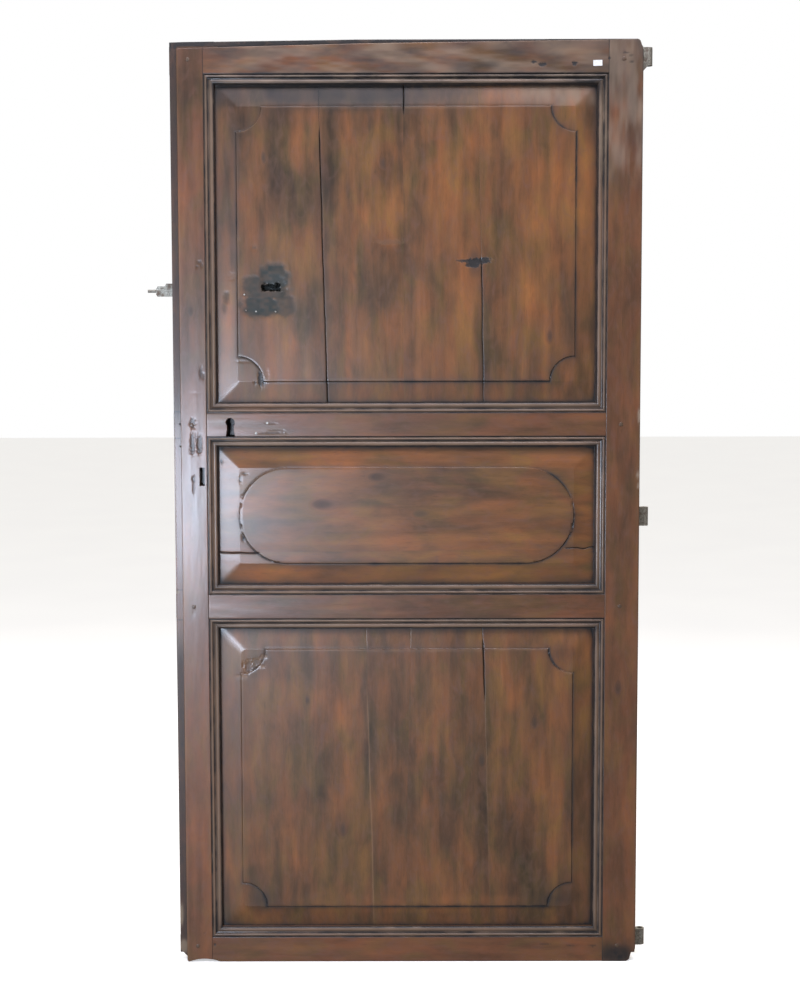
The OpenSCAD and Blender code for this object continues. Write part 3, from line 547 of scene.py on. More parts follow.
def age_stile(name, x, y, z, s, kind, keep, seed):
    """Adds hand planing, dents and the latch slot to the face, and the values that the material
    reads: a rebate shelf painted lighter at mid-height as the window's reflection, the slot painted
    dark inside as its shade, the top rebate painted dark as its shadow with dirt, and pale
    splinters."""
    x, y, z, s, kind = np.broadcast_arrays(x, y, z, s, kind)
    face = ((kind == FLAT) | (kind == MOULDED)) & (y < REBATE_T - 1)
    dent = 0.5 * dented(x, z)
    slot_x, slot_z, half_w, half_h, slot_y = SLOT
    slot = ease((np.minimum(half_w - np.abs(x - slot_x), half_h - np.abs(z - slot_z)) + 0.4) / 0.8)
    sunk = layers(x, z, seed, (0.18, 34, 330), (0.07, 11, 90), (0.04, 5, 30))
    y = np.where(face, y + PLANED_OFF + sunk + dent, y)
    y = np.where(face & (kind == FLAT), y + (slot_y - y) * slot, y)
    closing = x.min() < 1
    worn = fade(np.abs(x - REBATE_W) - 1.5, 1.6) if closing else fade(LEAF_W - x, 3.0)
    # dents take dirt; the slot is painted dark inside as its shade
    more = 0.75 * ease((dent - 0.08) / 0.4) + slot
    dirt_and_shade, rub_and_highlight, bare = frame_marks(x, y, z, s, keep, kind, face, False, seed, more, worn)
    shelf = (y > REBATE_T - 2) * (y < REBATE_T + 3) * (x < REBATE_W + 2)
    ticks = sum(bell(z - at, 1.1) for at in SHELF_TICKS)
    # the rebate's shelf is darker, with dark saw ticks, and painted lighter at mid-height as the window's
    # reflection
    dirt_and_shade = dirt_and_shade + shelf * (0.35 - 0.5 * spot(x, z, *SHELF_REFLECTION, 0.2) + 0.7 * ticks)
    # darker towards the top end; the top rebate's step is painted dark as its shadow, with dirt
    dirt_and_shade = dirt_and_shade + 0.4 * fade(LEAF_H - z, 30.0)
    dirt_and_shade = dirt_and_shade + 0.7 * (np.abs(y - REBATE_T - 1) < 3) * (z > LEAF_H - 20)
    dirt_and_shade = dirt_and_shade + 0.8 * spot(x, z, *FOOT_DIRT) * (y < REBATE_T)
    dirt_and_shade = dirt_and_shade + 0.7 * fade(LEAF_W - x, 1.8) * (x > LEAF_W / 2) * (y < 5)
    dirt_and_shade = dirt_and_shade + 0.5 * greyed(x, z + GREY_DIRT, False) * face
    lip = (y > REBATE_T - 2) * (x < 30)
    chip = sum(spot(x, z, *at) for at in LIP_CHIPS) * lip + sum(spot(x, z, *at) for at in SPLINTERS)
    dirt_and_shade = dirt_and_shade * (1 - np.clip(chip, 0, 1))
    bare, grain_end = np.maximum(bare, 1.3 * chip), fade(np.minimum(LEAF_H - z, z), 2.0)
    looks = looks_of(x, y, z, False, seed, dirt_and_shade, rub_and_highlight, bare, grain_end)
    return skin(name, np.stack([x, y, z], -1), **looks)


MITRES = [(a - MOULD_W - 1, a + 1, 1.0) for a, _ in OPENINGS.values()]
MITRES += [(b - 1, b + MOULD_W + 1, 1.0) for _, b in OPENINGS.values()]
MITRE_ENDS = [v for lo, hi in OPENINGS.values() for v in (lo, lo - MOULD_W, hi, hi + MOULD_W)]
STEP_ROWS = LEAF_H - REBATE_W - np.array([2.4, 1.2, 0.5, 0.0, -0.001, -1.0])


def stile_heights(*fine):
    """Row heights of a stile: close at mitres, ends and the places given."""
    every = rungs(0.0, LEAF_H, 6.5, *MITRES, *fine, (0.0, 3.0, 1.0), (3.0, 80.0, 3.5))
    return np.unique(np.concatenate([every, MITRE_ENDS, STEP_ROWS, [LEAF_H - 1.5, LEAF_H - 0.5]]))


lock_loop = section(rebated_edge(), lined_edge(), STILE_W, rungs(18, 78, 4.0, (38, 76, 1.5)))
hinge_loop = section(lined_edge(), plain_edge(), STILE_W, rungs(22, 100, 3.4))
by_dents = ((792, 800, 1.4), (861, 869, 1.4), (1085, 1276, 1.5), (1310, 1372, 2.2), (1594, 1614, 1.6))
stile("lock_stile_wood", 0.0, lock_loop, 1, stile_heights(*by_dents), 11)
stile("hinge_stile_wood", SIGHT[1], hinge_loop, -1, stile_heights((2036, 2072, 1.7)), 12)

# %% [markdown]
# ## Rails
# A rail is carried across the leaf. Its face reaches the stiles' shoulder lines and is mitred
# where it carries a moulding, its back stops at a square shoulder, and a tenon at each end
# goes right through the stile, so its end grain shows in the leaf's edge.
# %% Carry a rail across
SHOULDER = STILE_W - MOULD_W
KEYHOLE_TOP = (130.0, 1248.0, 9.5)  # middle and radius of the round
KEYHOLE_FOOT, KEYHOLE_WAIST = (1216.5, 9.25), (1232.3, 7.0)  # heights and half widths below it
RAIL_BEND, RAIL_GREY = 60.0, 90.0  # height of the worn foot, and shift of the grey dirt
FINE_RAIL = {"lock_rail_wood": ((28, 80, 1.4),), "top_rail_wood": ((42, 66, 1.8),)}


def keyhole(x, z):
    """1 inside the keyhole, a round over a foot that flares, with a slightly ragged edge."""
    (kx, kz, r), (foot_z, foot), (waist_z, waist) = KEYHOLE_TOP, KEYHOLE_FOOT, KEYHOLE_WAIST
    beside = np.interp(z, [foot_z, waist_z], [foot, waist]) - np.abs(x - kx)
    inside = np.maximum(r - np.hypot(x - kx, z - kz), np.minimum(beside, np.minimum(z - foot_z, kz - z)))
    return ease((inside + 0.5 + 0.4 * hills(x, z, 3, 3, 5)) / 0.9)


def rail(name, top, bottom, high, low, lengths, seed):
    """A rail between heights low and high, from its upper and lower edges. Each point of its
    loop starts where its own surface does: at the shoulder, on the mitre, or at the square
    shoulder behind."""
    loop = section(top, bottom, high - low, rungs(2, high - low - 2, 3.6, *FINE_RAIL.get(name, ())))
    c, d, s, kind, side = loop.T[:, None, :]
    x = lengths[:, None]
    is_top = high > LEAF_H - 1
    step = np.interp(x, [0, LEAF_W], TOP_REBATE)
    if is_top:
        c = np.where((side < 0) & (c >= REBATE_W), c + step - REBATE_W,
                     np.where((side < 0) & (d > 1.6), c * step / REBATE_W, c))
        c = np.maximum(c, 0.0)
    front = (kind == FLAT) | (kind == MOULDED) | (kind == WALL) | ((kind == OUTER) & (d < SPLIT - 0.005))
    start = np.where(front, SHOULDER + np.clip(s, 0, MOULD_W), STILE_W)
    run = np.clip(x, start, LEAF_W - start)
    face = ((kind == FLAT) | (kind == MOULDED)) & (d < REBATE_T - 1)
    near = np.minimum(run - start, LEAF_W - start - run)
    x, y, z, s, kind = np.broadcast_arrays(run, d, high - c, s, kind)
    sunk = layers(z, x, seed, (0.18, 34, 300), (0.07, 12, 80), (0.03, 5, 30))
    dent = dented(x, z)
    hole = keyhole(x, z) if name == "lock_rail_wood" else 0 * z
    y = np.where(face, y + PLANED_OFF + sunk + dent + 0.22 * fade(near, 0.5), y)
    y = np.where(face & (kind == FLAT), y + (LEAF_T - 1.0 - y) * hole, y)
    worn = 0 * z
    if is_top:
        z = z - head_drop(x, z)
        worn = fade(LEAF_H - step - z - 1.2, 1.6)
    if low < 1:
        z = z + foot_rise(x, z, RAIL_BEND)
    # dents take dirt, the keyhole is painted dark inside as its shade, and the shoulder joint is dark
    more = 0.9 * ease((dent - 0.15) / 0.4) + 1.4 * hole + 0.15 * fade(near, 1.2)
    dirt_and_shade, rub_and_highlight, bare = frame_marks(x, y, z, s, MOULD_W, kind, face, True, seed, more, worn)
    # the top rebate is painted dark as its shadow, with dirt
    dirt_and_shade = dirt_and_shade + 0.8 * is_top * (y > REBATE_T - 2) * (y < REBATE_T + 8)
    dirt_and_shade = dirt_and_shade + (0.85 * greyed(x + RAIL_GREY, z, True) + 0.08 * is_top) * face
    return skin(name, np.stack([x, y, z], -1), **looks_of(x, y, z, True, seed, dirt_and_shade, rub_and_highlight, bare))


RIGHT = LEAF_W - SHOULDER
ENDS = ((SHOULDER, SHOULDER + 1.2, 0.3), (SHOULDER + 1.2, STILE_W + 1, 1.0),
        (SIGHT[1] - 1, RIGHT - 1.2, 1.0), (RIGHT - 1.2, RIGHT, 0.3))
lo, mid, hi = OPENINGS.values()
RAILS = {
    "top_rail_wood": (rebated_edge(), lined_edge(), LEAF_H, hi[1], 21, ((800, 842, 1.8), (893, 912, 1.8))),
    "lock_rail_wood": (lined_edge(), lined_edge(), hi[0], mid[1], 22, ((112, 142, 1.0), (176, 256, 2.2))),
    "middle_rail_wood": (lined_edge(), lined_edge(), mid[0], lo[1], 23, ()),
    "bottom_rail_wood": (lined_edge(), plain_edge(), lo[0], 0.0, 24, ((832, 920, 2.5),)),
}
for name, (top, bottom, high, low, seed, fine) in RAILS.items():
    rail(name, top, bottom, high, low, rungs(SHOULDER, RIGHT, 6.0, *ENDS, *fine), seed)

# %% [markdown]
# ## Tenons
# Each tenon is a tongue of the rail that fills its mortise, so its end grain shows in the edge
# of the leaf. It stands a hair proud there, as dry end grain does when the stile has shrunk
# round it. In the closing stile only the part behind the rebate's shelf reaches the edge.
# %% Tenon ends in the edges of the leaf
TENON_Y, TENON_T, TENON_R, PROUD = 14.0, 14.0, 1.2, 0.35  # depth, thickness, corner, proud end
UNDER_SHELF = 0.7  # wood left between the rebate's shelf and a tenon


def tenon(name, low, high, at_hinges, seed):
    """A rectangle with soft corners carried across the stile, from beyond its edge into the
    rail. In the closing stile its front part starts at the wall of the rebate, and the rest
    runs on below the shelf."""
    r, y0, y1 = TENON_R, TENON_Y, TENON_Y + TENON_T
    ys = np.array([y0 + r, y0 + 3, y1 - 3, y1 - r, y1, y1, y1 - r, y1 - 3, y0 + 3, y0 + r, y0, y0])
    zs = np.array([low] * 4 + [low + r, high - r] + [high] * 4 + [high - r, low + r])
    step = REBATE_W - PROUD
    reach = np.array([-PROUD, 0.25 - PROUD, 1.2, 6, step - 0.01, step, 20, 60, STILE_W + 8.0])[:, None]
    soft = 0.25 * fade(reach + PROUD, 0.15)
    y = ys + np.sign((y0 + y1) / 2 - ys) * soft
    z = zs + np.sign((low + high) / 2 - zs) * soft
    if not at_hinges:
        y = np.where(reach < step - 0.005, np.maximum(y, REBATE_T + UNDER_SHELF), y)
    rows = np.stack(np.broadcast_arrays(LEAF_W - reach if at_hinges else reach, y, z), -1)
    rows = rows[::-1] if at_hinges else rows
    inwards = LEAF_W - rows[..., 0] if at_hinges else rows[..., 0]
    grain_end = np.exp(-np.minimum(inwards, 30) / 3)
    looks = looks_of(*np.moveaxis(rows, -1, 0), True, seed, dirt_and_shade=0.45, rub_and_highlight=0.2, grain_end=grain_end)
    return skin(name, rows, **looks)


TENONS = {"top": (hi[1] + MOULD_W, LEAF_H - 16), "lock": (mid[1] + MOULD_W, hi[0] - MOULD_W),
          "middle": (lo[1] + MOULD_W, mid[0] - MOULD_W), "bottom": (16.0, lo[0] - MOULD_W)}
for i, (name, (low, high)) in enumerate(TENONS.items()):
    for at_hinges, stile_name in ((False, "closing"), (True, "hinge")):
        tenon(f"{name}_tenon_{stile_name}", low, high, at_hinges, 31 + i)

# %% [markdown]
# ## Pegs
# A peg of riven wood, driven through stile and tenon, holds each joint. It was whittled, so it
# isn't quite round, and its ends stand a little proud with their edges rubbed off.
# %% Pegs through the joints
PEG_R, PEG_LOBES, PEG_DOME, PEG_SIDES, PEG_IN = 4.5, 0.05, 0.6, 20, 43.0


def peg(name, x, z, seed):
    """Rings of a slightly uneven circle along y, closed by a low dome at each end whose radius
    falls as the cosine of the way along it."""
    turn = np.linspace(2 * np.pi, 0, PEG_SIDES, endpoint=False)
    uneven = 1 + PEG_LOBES * (np.cos(3 * turn + seed) + 0.5 * np.cos(5 * turn + 2 * seed))
    t = np.radians([84, 60, 35, 12, 0])
    radius = PEG_R * np.concatenate([np.cos(t), np.cos(t[::-1])])[:, None] * uneven
    y = np.concatenate([-0.1 - PEG_DOME * np.sin(t), LEAF_T + 0.4 + PEG_DOME * np.sin(t[::-1])])
    across, up = radius * np.cos(turn), radius * np.sin(turn)
    rows = np.stack(np.broadcast_arrays(x + across, y[:, None], z + up), -1)
    looks = looks_of(*np.moveaxis(rows, -1, 0), False, seed, dirt_and_shade=0.3, rub_and_highlight=0.2, grain_end=0.6)
    return skin(name, rows, slot="peg_wood", **looks)


PEGS = [peg(f"peg_{name}_{stile_name}", x, (low + high) / 2, 51 + i)
        for i, (name, (low, high)) in enumerate(TENONS.items())
        for x, stile_name in ((PEG_IN, "closing"), (LEAF_W - PEG_IN, "hinge"))]

# %% [markdown]
# ## The label
# A scrap of paper, glued in its middle, that has dried and lifted at its corners.
# %% Curled label
LABEL_AT, LABEL_SIZE, LABEL_TILT, PAPER_T = (953.3, 2043.6), (20.0, 12.6), 1.5, 0.15


def label(name):
    """A thin sheet whose height over the wood is a + b u^2 v^2, with u and v from -1 to 1 across
    and up it, turned by its tilt in its plane."""
    u, v = np.linspace(-1, 1, 13), np.linspace(-1, 1, 9)[:, None]
    lift = 0.12 + 0.5 * (u * v) ** 2 * (0.6 + 0.4 * np.sign(u * v)) + 0.05 * hills(9 * u, 9 * v, 5, 5, 3)
    across, up = LABEL_SIZE[0] / 2 * u + 0 * v, LABEL_SIZE[1] / 2 * v + 0 * u
    turn = np.radians(LABEL_TILT)
    x = LABEL_AT[0] + across * np.cos(turn) - up * np.sin(turn)
    z = LABEL_AT[1] + across * np.sin(turn) + up * np.cos(turn)
    rows = np.stack([np.c_[x, x[:, ::-1]], np.c_[-lift - PAPER_T, -lift[:, ::-1]], np.c_[z, z[:, ::-1]]], -1)
    return skin(name, rows, slot="label_paper")


label("curled_label")

# %% [markdown]
# ## Raised panels
# A raised panel has a field that stands a few millimetres above a sloping border. The two
# large fields have a hollow quarter round at each corner and the long one has half-round
# ends. The border was planed, the field's outline was cut with a gouge, so a small step runs
# all round it. Everything about the face is one number: its depth at each place.
# %% Depth of a raised panel
BEVEL_W, BEVEL_LOW, BEVEL_HIGH, FIELD_Y, STEP_W = 48.0, 15.0, 7.0, 4.5, 1.3
CORNER_R, PANEL_BACK, TONGUE, LAP_Y, LAP_W = 56.0, 31.0, 10.0, 19.0, 5.0
SOFT_MITRE = {"top": 6.0, "middle": 2.0, "bottom": 15.0}  # width over which two slopes blend
HOLE = (203.0, 244.0, 1543.0, 1562.0)  # broken opening: left, right, bottom, top


def rings(opening):
    """Circles of a field's outline: centre, and the radii at the foot and top of the step."""
    low, high = OPENINGS[opening]
    xs = (SIGHT[0] + BEVEL_W, SIGHT[1] - BEVEL_W)
    if opening != "middle":
        return [(x, z, CORNER_R, CORNER_R + STEP_W) for x in xs for z in (low + BEVEL_W, high - BEVEL_W)]
    r, z = (high - low) / 2 - BEVEL_W, (low + high) / 2
    return [(xs[0] + r, z, r, r - STEP_W), (xs[1] - r, z, r, r - STEP_W)]


def from_sight(x, z, opening):
    """Distance in from the nearer sight line beside, and from the nearer one above or below."""
    low, high = OPENINGS[opening]
    return np.minimum(x - SIGHT[0], SIGHT[1] - x), np.minimum(z - low, high - z)


def within(x, z, opening):
    """Distance in from the sight lines, and from the field's outline: positive inside each."""
    inside = np.minimum(*from_sight(x, z, opening))
    field = inside - BEVEL_W
    for cx, cz, foot, top in rings(opening):
        away = np.hypot(x - cx, z - cz)
        if top > foot:
            field = np.minimum(field, away - foot)
        else:
            beyond = (x < cx) if cx < LEAF_W / 2 else (x > cx)
            field = np.where(beyond, np.minimum(field, foot - away), field)
    return inside, field


def snapped(x, z, opening, reach=0.75):
    """Points within reach of an outline circle move along its radius onto the foot or the top
    of the step, so that the step is clean."""
    for cx, cz, foot, top in rings(opening):
        away = np.maximum(np.hypot(x - cx, z - cz), 1e-6)
        nearer = np.where(np.abs(away - foot) < np.abs(away - top), foot, top)
        outer_half = (np.abs(x - cx) < foot + 3) if top > foot else ((x < cx) == (cx < LEAF_W / 2))
        move = np.where((np.abs(away - nearer) < reach) & outer_half, nearer / away, 1.0)
        x, z = cx + (x - cx) * move, cz + (z - cz) * move
    return x, z


def panel_face(x, z, opening, seed):
    """Depth of the border, spandrels and field, with the scribed line at the foot of the step,
    the hollows left by the plane, the dents and the broken opening."""
    inside, field = within(x, z, opening)
    beside, above = from_sight(x, z, opening)
    blend = SOFT_MITRE[opening]
    share = np.clip(0.5 + 0.5 * (above - beside) / blend, 0, 1)
    soft_in = above * (1 - share) + beside * share - blend * share * (1 - share)
    border = BEVEL_HIGH + (BEVEL_LOW - BEVEL_HIGH) * np.maximum(BEVEL_W - soft_in, 0) / BEVEL_W
    depth = border + (FIELD_Y - border) * ease(field / STEP_W)
    depth = depth + 0.5 * bell(field + 0.9, 0.8) + 0.3 * fade(field - STEP_W, 1.2) * (field > 0.5)
    a, b = (z, x) if opening == "middle" else (x, z)
    depth = depth + layers(a, b, seed, (0.20, 60, 260), (0.06, 15, 90))
    dent = dented(x, z)
    x0, x1, z0, z1 = HOLE
    rag = layers(x, z, 8, (1.3, 5, 5), (0.7, 2.2, 2.2))
    inner = np.minimum(np.minimum(x - x0, x1 - x), z - z0) + rag
    hole = ease((inner + 0.4) / 1.6) * ease((z1 - 3 + 3 * rag - z) / 7.0)
    scoop = ease((np.minimum(x - x0 + 7, x1 + 20 - x) + rag) / 14.0) * ease((z - z0 + 2 + rag) / 3.0)
    depth = depth + 1.4 * scoop * ease((z1 + 30 - z) / 40.0)
    iron = ironed(x, z)
    depth = depth + dent + iron * (0.5 + 0.10 * hills(x, z, 9, 9, 33))
    return depth + (PANEL_BACK - 0.8 - depth) * hole, inside, field, np.maximum(dent, 0), hole, iron


print("field rings", {k: len(rings(k)) for k in OPENINGS})

# %% [markdown]
# ## Boards of a panel
# The large panels are four upright boards each and the long one is two boards laid across,
# half lapped and glued. Old glue lines have opened, by about a millimetre and only along part
# of their length. Each board is one closed piece between two edges, and each edge is either a
# joint, with a worn arris, or a thin tongue in the frame's groove. Below, u runs across a
# board and v along it.
# %% One board
JOINTS = {  # for each joint: place at the start and end, then (where, how wide, how pale) along it
    "top": [(349, 332, ((1280, 0.8, 0), (1300, 1.0, 0), (1500, 0.8, 0), (1885, 1.1, 0), (1906, 0.2, 0),
                        (2010, 0.15, 0))),
            (522, 522, ((1280, 0, 0), (1930, 0, 0), (1944, 1.2, 0), (2010, 1.2, 0))),
            (702, 688, ((1280, 0.3, 0), (1340, 0.7, 0), (1592, 1.0, 0), (1618, 0.15, 0), (1900, 0, 0)))],
    "bottom": [(451, 434, ((70, 0, 0.2), (160, 0, 0.6), (600, 0, 0.5), (640, 0, 0), (730, 0, 0),
                           (740, 0.2, 0.7))),
               (524, 536, ((70, 0, 0), (730, 0, 0), (740, 0.2, 0.7))),
               (721, 700, ((70, 0, 0), (300, 0, 0.3), (606, 0.1, 0.4), (648, 1.2, 0), (742, 1.4, 0),
                           (752, 0.3, 0)))],
    "middle": [(950, 962, ((96, 1.2, 0), (184, 1.1, 0), (196, 0, 0), (884, 0, 0), (893, 1.0, 0),
                           (960, 0.9, 0)))],
}
ARRIS = ((0.0, 1.25), (0.35, 0.6), (0.9, 0.22), (1.9, 0.04), (3.6, 0.0))  # off an edge, lost by width
FAINT_SHADE_PLACES = ((148, 420, 30, 250, 0.85), (190, 1950, 110, 60, 0.75))  # places where the painted shade line round the field is fainter, as its step faces the light
POOLS = ((876, 140, 34, 18), (890, 720, 26, 20), (190, 140, 30, 22))  # old wax in the spandrels
SHADED, SHEEN_PLACE = (360, 1981, 270, 27), (860, 1981, 105, 25)  # painted shadow with dirt on the left of the top border, and a painted sheen at its right end
CUP = 0.5  # most that a board has cupped


def joint_line(opening, i, v):
    """Centre, width and paleness of a joint at places v along the boards."""
    a, b, marks = JOINTS[opening][i]
    where, widths, pales = zip(*marks)
    wide, pale = np.interp(v, where, widths), np.interp(v, where, pales)
    if opening == "middle":
        return a + (b - a) * v / LEAF_W + 2.2 * hills(v, 1.0, 17, 9, 71) * ease(wide / 0.5), wide, pale
    low, high = OPENINGS[opening]
    centre = a + (b - a) * (v - low + GROOVE_IN) / (high - low + 2 * GROOVE_IN)
    centre = centre + 1.1 * hills(v, 1.0, 70, 9, 72 + i) + 0.4 * hills(v, 1.0, 14, 9, 75 + i)
    return centre, wide, pale


def panel_marks(x, z, opening, inside, field, dent, seed):
    """Dirt with painted shade, rubbing with painted highlights, and a painted sheen on a board's
    face. The dark line round the field is painted shade at the foot of its step, fainter where the
    step faces up or towards the light on the left. Torn places are dark inside with a pale rim
    painted as a highlight, 4h(1 - h)."""
    worn = 0.5 + 0.5 * hills(x, z, 22, 40, seed + 9)
    # where the field's step faces up it catches the overhead light, and its painted shade line is made
    # fainter
    slope = (within(x, z - 0.4, opening)[1] - within(x, z + 0.4, opening)[1]) / 0.8
    facing_up = ease((slope - 0.8) / 0.15)
    # the painted shade line is fainter on the left, towards the light, and in the places listed
    faint = 1 - sum(much * spot(x, z, *at) for *at, much in FAINT_SHADE_PLACES)
    faint = np.clip(faint * (0.62 + 0.3 * ease((x - 400) / 300) + 0.45 * hills(x, z, 70, 70, 64)), 0.1, 1.2)
    # old wax pooled in the spandrels, and painted shadow with dirt under the top rail
    wax_and_shadow = sum(spot(x, z, *at, 0.9) for at in POOLS)
    wax_and_shadow = wax_and_shadow + (1.3 + 0.7 * hills(x, z, 26, 17, 65)) * spot(x, z, *SHADED)
    # a pale grey painted sheen on the right end of the top border
    painted_sheen = spot(x, z, *SHEEN_PLACE, 0.7) * (0.65 + 0.5 * hills(x, z, 11, 30, 63)) * (field < 0)
    h = ease((dent - 0.1) / 0.4)
    # painted shadow with dirt along the panel's edge under the moulding, darker towards the corners, the
    # painted shade line at the foot of the field's step with a broad halo on the border, dirt in dents, and
    # wax with painted shadow
    dirt_and_shade = (1.1 * fade(np.maximum(inside, 0), 5.0) + 0.9 * corner_darkening(x, z)
            + 0.9 * faint * fade(field + 0.9, 2.6) * (1 - 0.75 * facing_up)
            + 0.34 * fade(field, 16.0) * (0.3 + 0.7 * (1 - worn))
            + (0.12 if opening == "bottom" else 0.9) * ease((dent - 0.15) / 0.4) + 0.4 * wax_and_shadow)
    # rubbing and a painted highlight along the top of the field's step
    rub_and_highlight = 0.5 * fade(field - 2.0, 1.1) * (0.15 + 0.85 * worn) * (field > 0.6)
    # torn places get a pale rim painted as a highlight
    return dirt_and_shade, rub_and_highlight + (0.3 if opening == "top" else 0.8) * 4 * h * (1 - h), 0.62 * np.clip(painted_sheen, 0, 1)


def across_board(sides, left, right, across, v, lying):
    """Places u of a board's points. Its edges follow their joints, the points between are drawn
    along, and the bevel at a tongue stays still. Also both edges, and the share of the way from
    one to the other."""
    u0 = sides[0] - TONGUE + 0 * v if left is None else left[0] + left[1] / 2
    u1 = sides[1] + TONGUE + 0 * v if right is None else right[0] - right[1] / 2
    first, last = float(u0.mean()), float(u1.mean())
    near = np.array([off for off, _ in ARRIS])
    inner = across[(across > first + (0.5 if left is None else 4.5))
                   & (across < last - (0.5 if right is None else 4.5))]
    nominal = np.concatenate([[first] if left is None else first + near, inner,
                              [last] if right is None else last - near[::-1]])
    still = BEVEL_W + (2 if lying else 60)
    start = sides[0] + still if left is None else first + 4
    stop = sides[1] - still if right is None else last - 4
    if not lying:
        start, stop = min(start, last - 30), max(stop, first + 30)
    pull0 = 0 * nominal if left is None else 1 - ease((nominal - first - 4) / max(stop - first - 4, 1))
    pull1 = 0 * nominal if right is None else ease((nominal - start) / max(last - 4 - start, 1))
    u = nominal + np.outer(u0 - first, pull0) + np.outer(u1 - last, pull1)
    return u, u0, u1, (nominal - first) / (last - first)


def board_back(left, right, u0, u1, v, ends, lap, seed):
    """Places and depths of a board's sides and back: a lapped wall at a joint, a thin tongue at
    the frame, and a roughly planed back, thinned at both ends to fit the groove."""
    thin = GROOVE_END - 0.2
    back_v = np.where((v < ends[0] + 1) | (v > ends[1] - 1), thin, PANEL_BACK)
    back_v[np.searchsorted(v, ends[0] + 1)] = PANEL_BACK

    def side(at, line, sign):
        """The edge's own points: a lapped wall at a joint, or the tongue's far side."""
        if line is None:
            beyond = at - sign * (TONGUE + 1)
            path = [(at, thin), (beyond, thin), (beyond, PANEL_BACK)]
        else:
            tight = line[0] + lap - sign * 0.15
            path = [(at, LAP_Y), (tight, LAP_Y), (tight, PANEL_BACK)]
        return [(pu, np.minimum(py, back_v)) for pu, py in path]

    right_side, left_side = side(u1, right, 1), side(u0, left, -1)
    a, b = right_side[-1][0], left_side[-1][0]
    behind = [(a + (b - a) * f, back_v + 0.3 * hills(a + (b - a) * f, v, 40, 200, seed + 4) * (back_v > 30))
              for f in np.linspace(0, 1, 9)[1:-1]]
    return (np.stack(part, 1) for part in zip(*right_side, *behind, *left_side[::-1]))


def board(name, opening, i, across, along, seed):
    """Board i between two joints or tongues, with across and along as the nominal places of its
    points. The middle panel's boards lie. It is cupped by 4t(1 - t) with t from edge to edge."""
    low, high = OPENINGS[opening]
    lying, v = opening == "middle", along
    sides, ends = ((low, high), SIGHT) if lying else (SIGHT, (low, high))
    left = joint_line(opening, i - 1, v) if i > 0 else None
    right = joint_line(opening, i, v) if i < len(JOINTS[opening]) else None
    laid = lambda u: (v[:, None] + 0 * u, u) if lying else (u, v[:, None] + 0 * u)
    u, u0, u1, t = across_board(sides, left, right, across, v, lying)
    x, z = snapped(*laid(u), opening)
    y, inside, field, dent, hole, iron = panel_face(x, z, opening, seed - seed % 10)
    y = y + CUP * np.random.default_rng(seed).uniform(-1, 1) * 4 * t * (1 - t)
    seam, pale = np.zeros_like(y), np.zeros_like(y)
    for line, at in ((left, u0), (right, u1)):
        if line is not None:
            wide = np.clip(line[1], 0.0, 1.6)[:, None]
            off = np.abs(u - at[:, None])
            y = y + np.interp(off, *zip(*ARRIS)) * wide
            dark = fade(off, 0.7 + 0.4 * wide) + 0.25 * fade(off, 7.0)
            seam = np.maximum(seam, dark * np.clip(wide / 0.7, 0, 1))
            pale = np.maximum(pale, line[2][:, None] * fade(off, 1.2))
    ru, ry = board_back(left, right, u0, u1, v, ends, 0.0 if lying else LAP_W, seed)
    rx, rz = laid(ru)
    rows = np.stack([np.c_[x, rx], np.c_[y, ry], np.c_[z, rz]], -1)
    dirt_and_shade, rub_and_highlight, painted_sheen = panel_marks(x, z, opening, inside, field, dent, seed)
    pad = lambda values, rest: np.c_[values, np.full(rx.shape, rest)]
    # seams are dark joints; the broken opening is painted dark inside as its shade
    looks = looks_of(*np.moveaxis(rows, -1, 0), lying, seed, pad(dirt_and_shade + 0.8 * seam + 1.5 * hole, 0.3),
                     pad(rub_and_highlight + pale, 0.0), pad(painted_sheen, 0.5), iron=pad(iron, 0.0))
    if lying:
        return skin(name, rows[:, ::-1], slot="panel_wood", **{k: w[:, ::-1] for k, w in looks.items()})
    crease = np.zeros((len(v) - 1, rows.shape[1]), bool)
    xm, zm = x[:-1, :-1] - LEAF_W / 2, z[:-1, :-1] - (low + high) / 2
    crease[:, :x.shape[1] - 1] = (xm * zm > 0) == (inside[:-1, :-1] < BEVEL_W - 0.5)
    return skin(name, rows, crease, slot="panel_wood", **looks)


BORDER = np.array([0, 0.6, 1.4, 4, 8, 12, 16, 20, 24, 28, 32, 36, 40, 44, 46.4, 47.3, 48, 48.6, 49.3, 50.2])
HOLLOW = np.append(np.arange(51.4, BEVEL_W + CORNER_R + 4, 1.5), BEVEL_W + CORNER_R + 6)


def places(start, stop, coarse, hollow, *fine):
    """Nominal places from one sight line to the other: the border, the step, the hollow
    corners where there are any, and then plain wood."""
    near = np.concatenate([BORDER, HOLLOW]) if hollow else BORDER
    inner = rungs(start + near[-1] + coarse, stop - near[-1] - coarse, coarse, *fine)
    return np.unique(np.concatenate([[start - TONGUE], start + near, inner, stop - near[::-1],
                                     [stop + TONGUE]]))


print("places", len(places(*OPENINGS["top"], 6.0, True)))

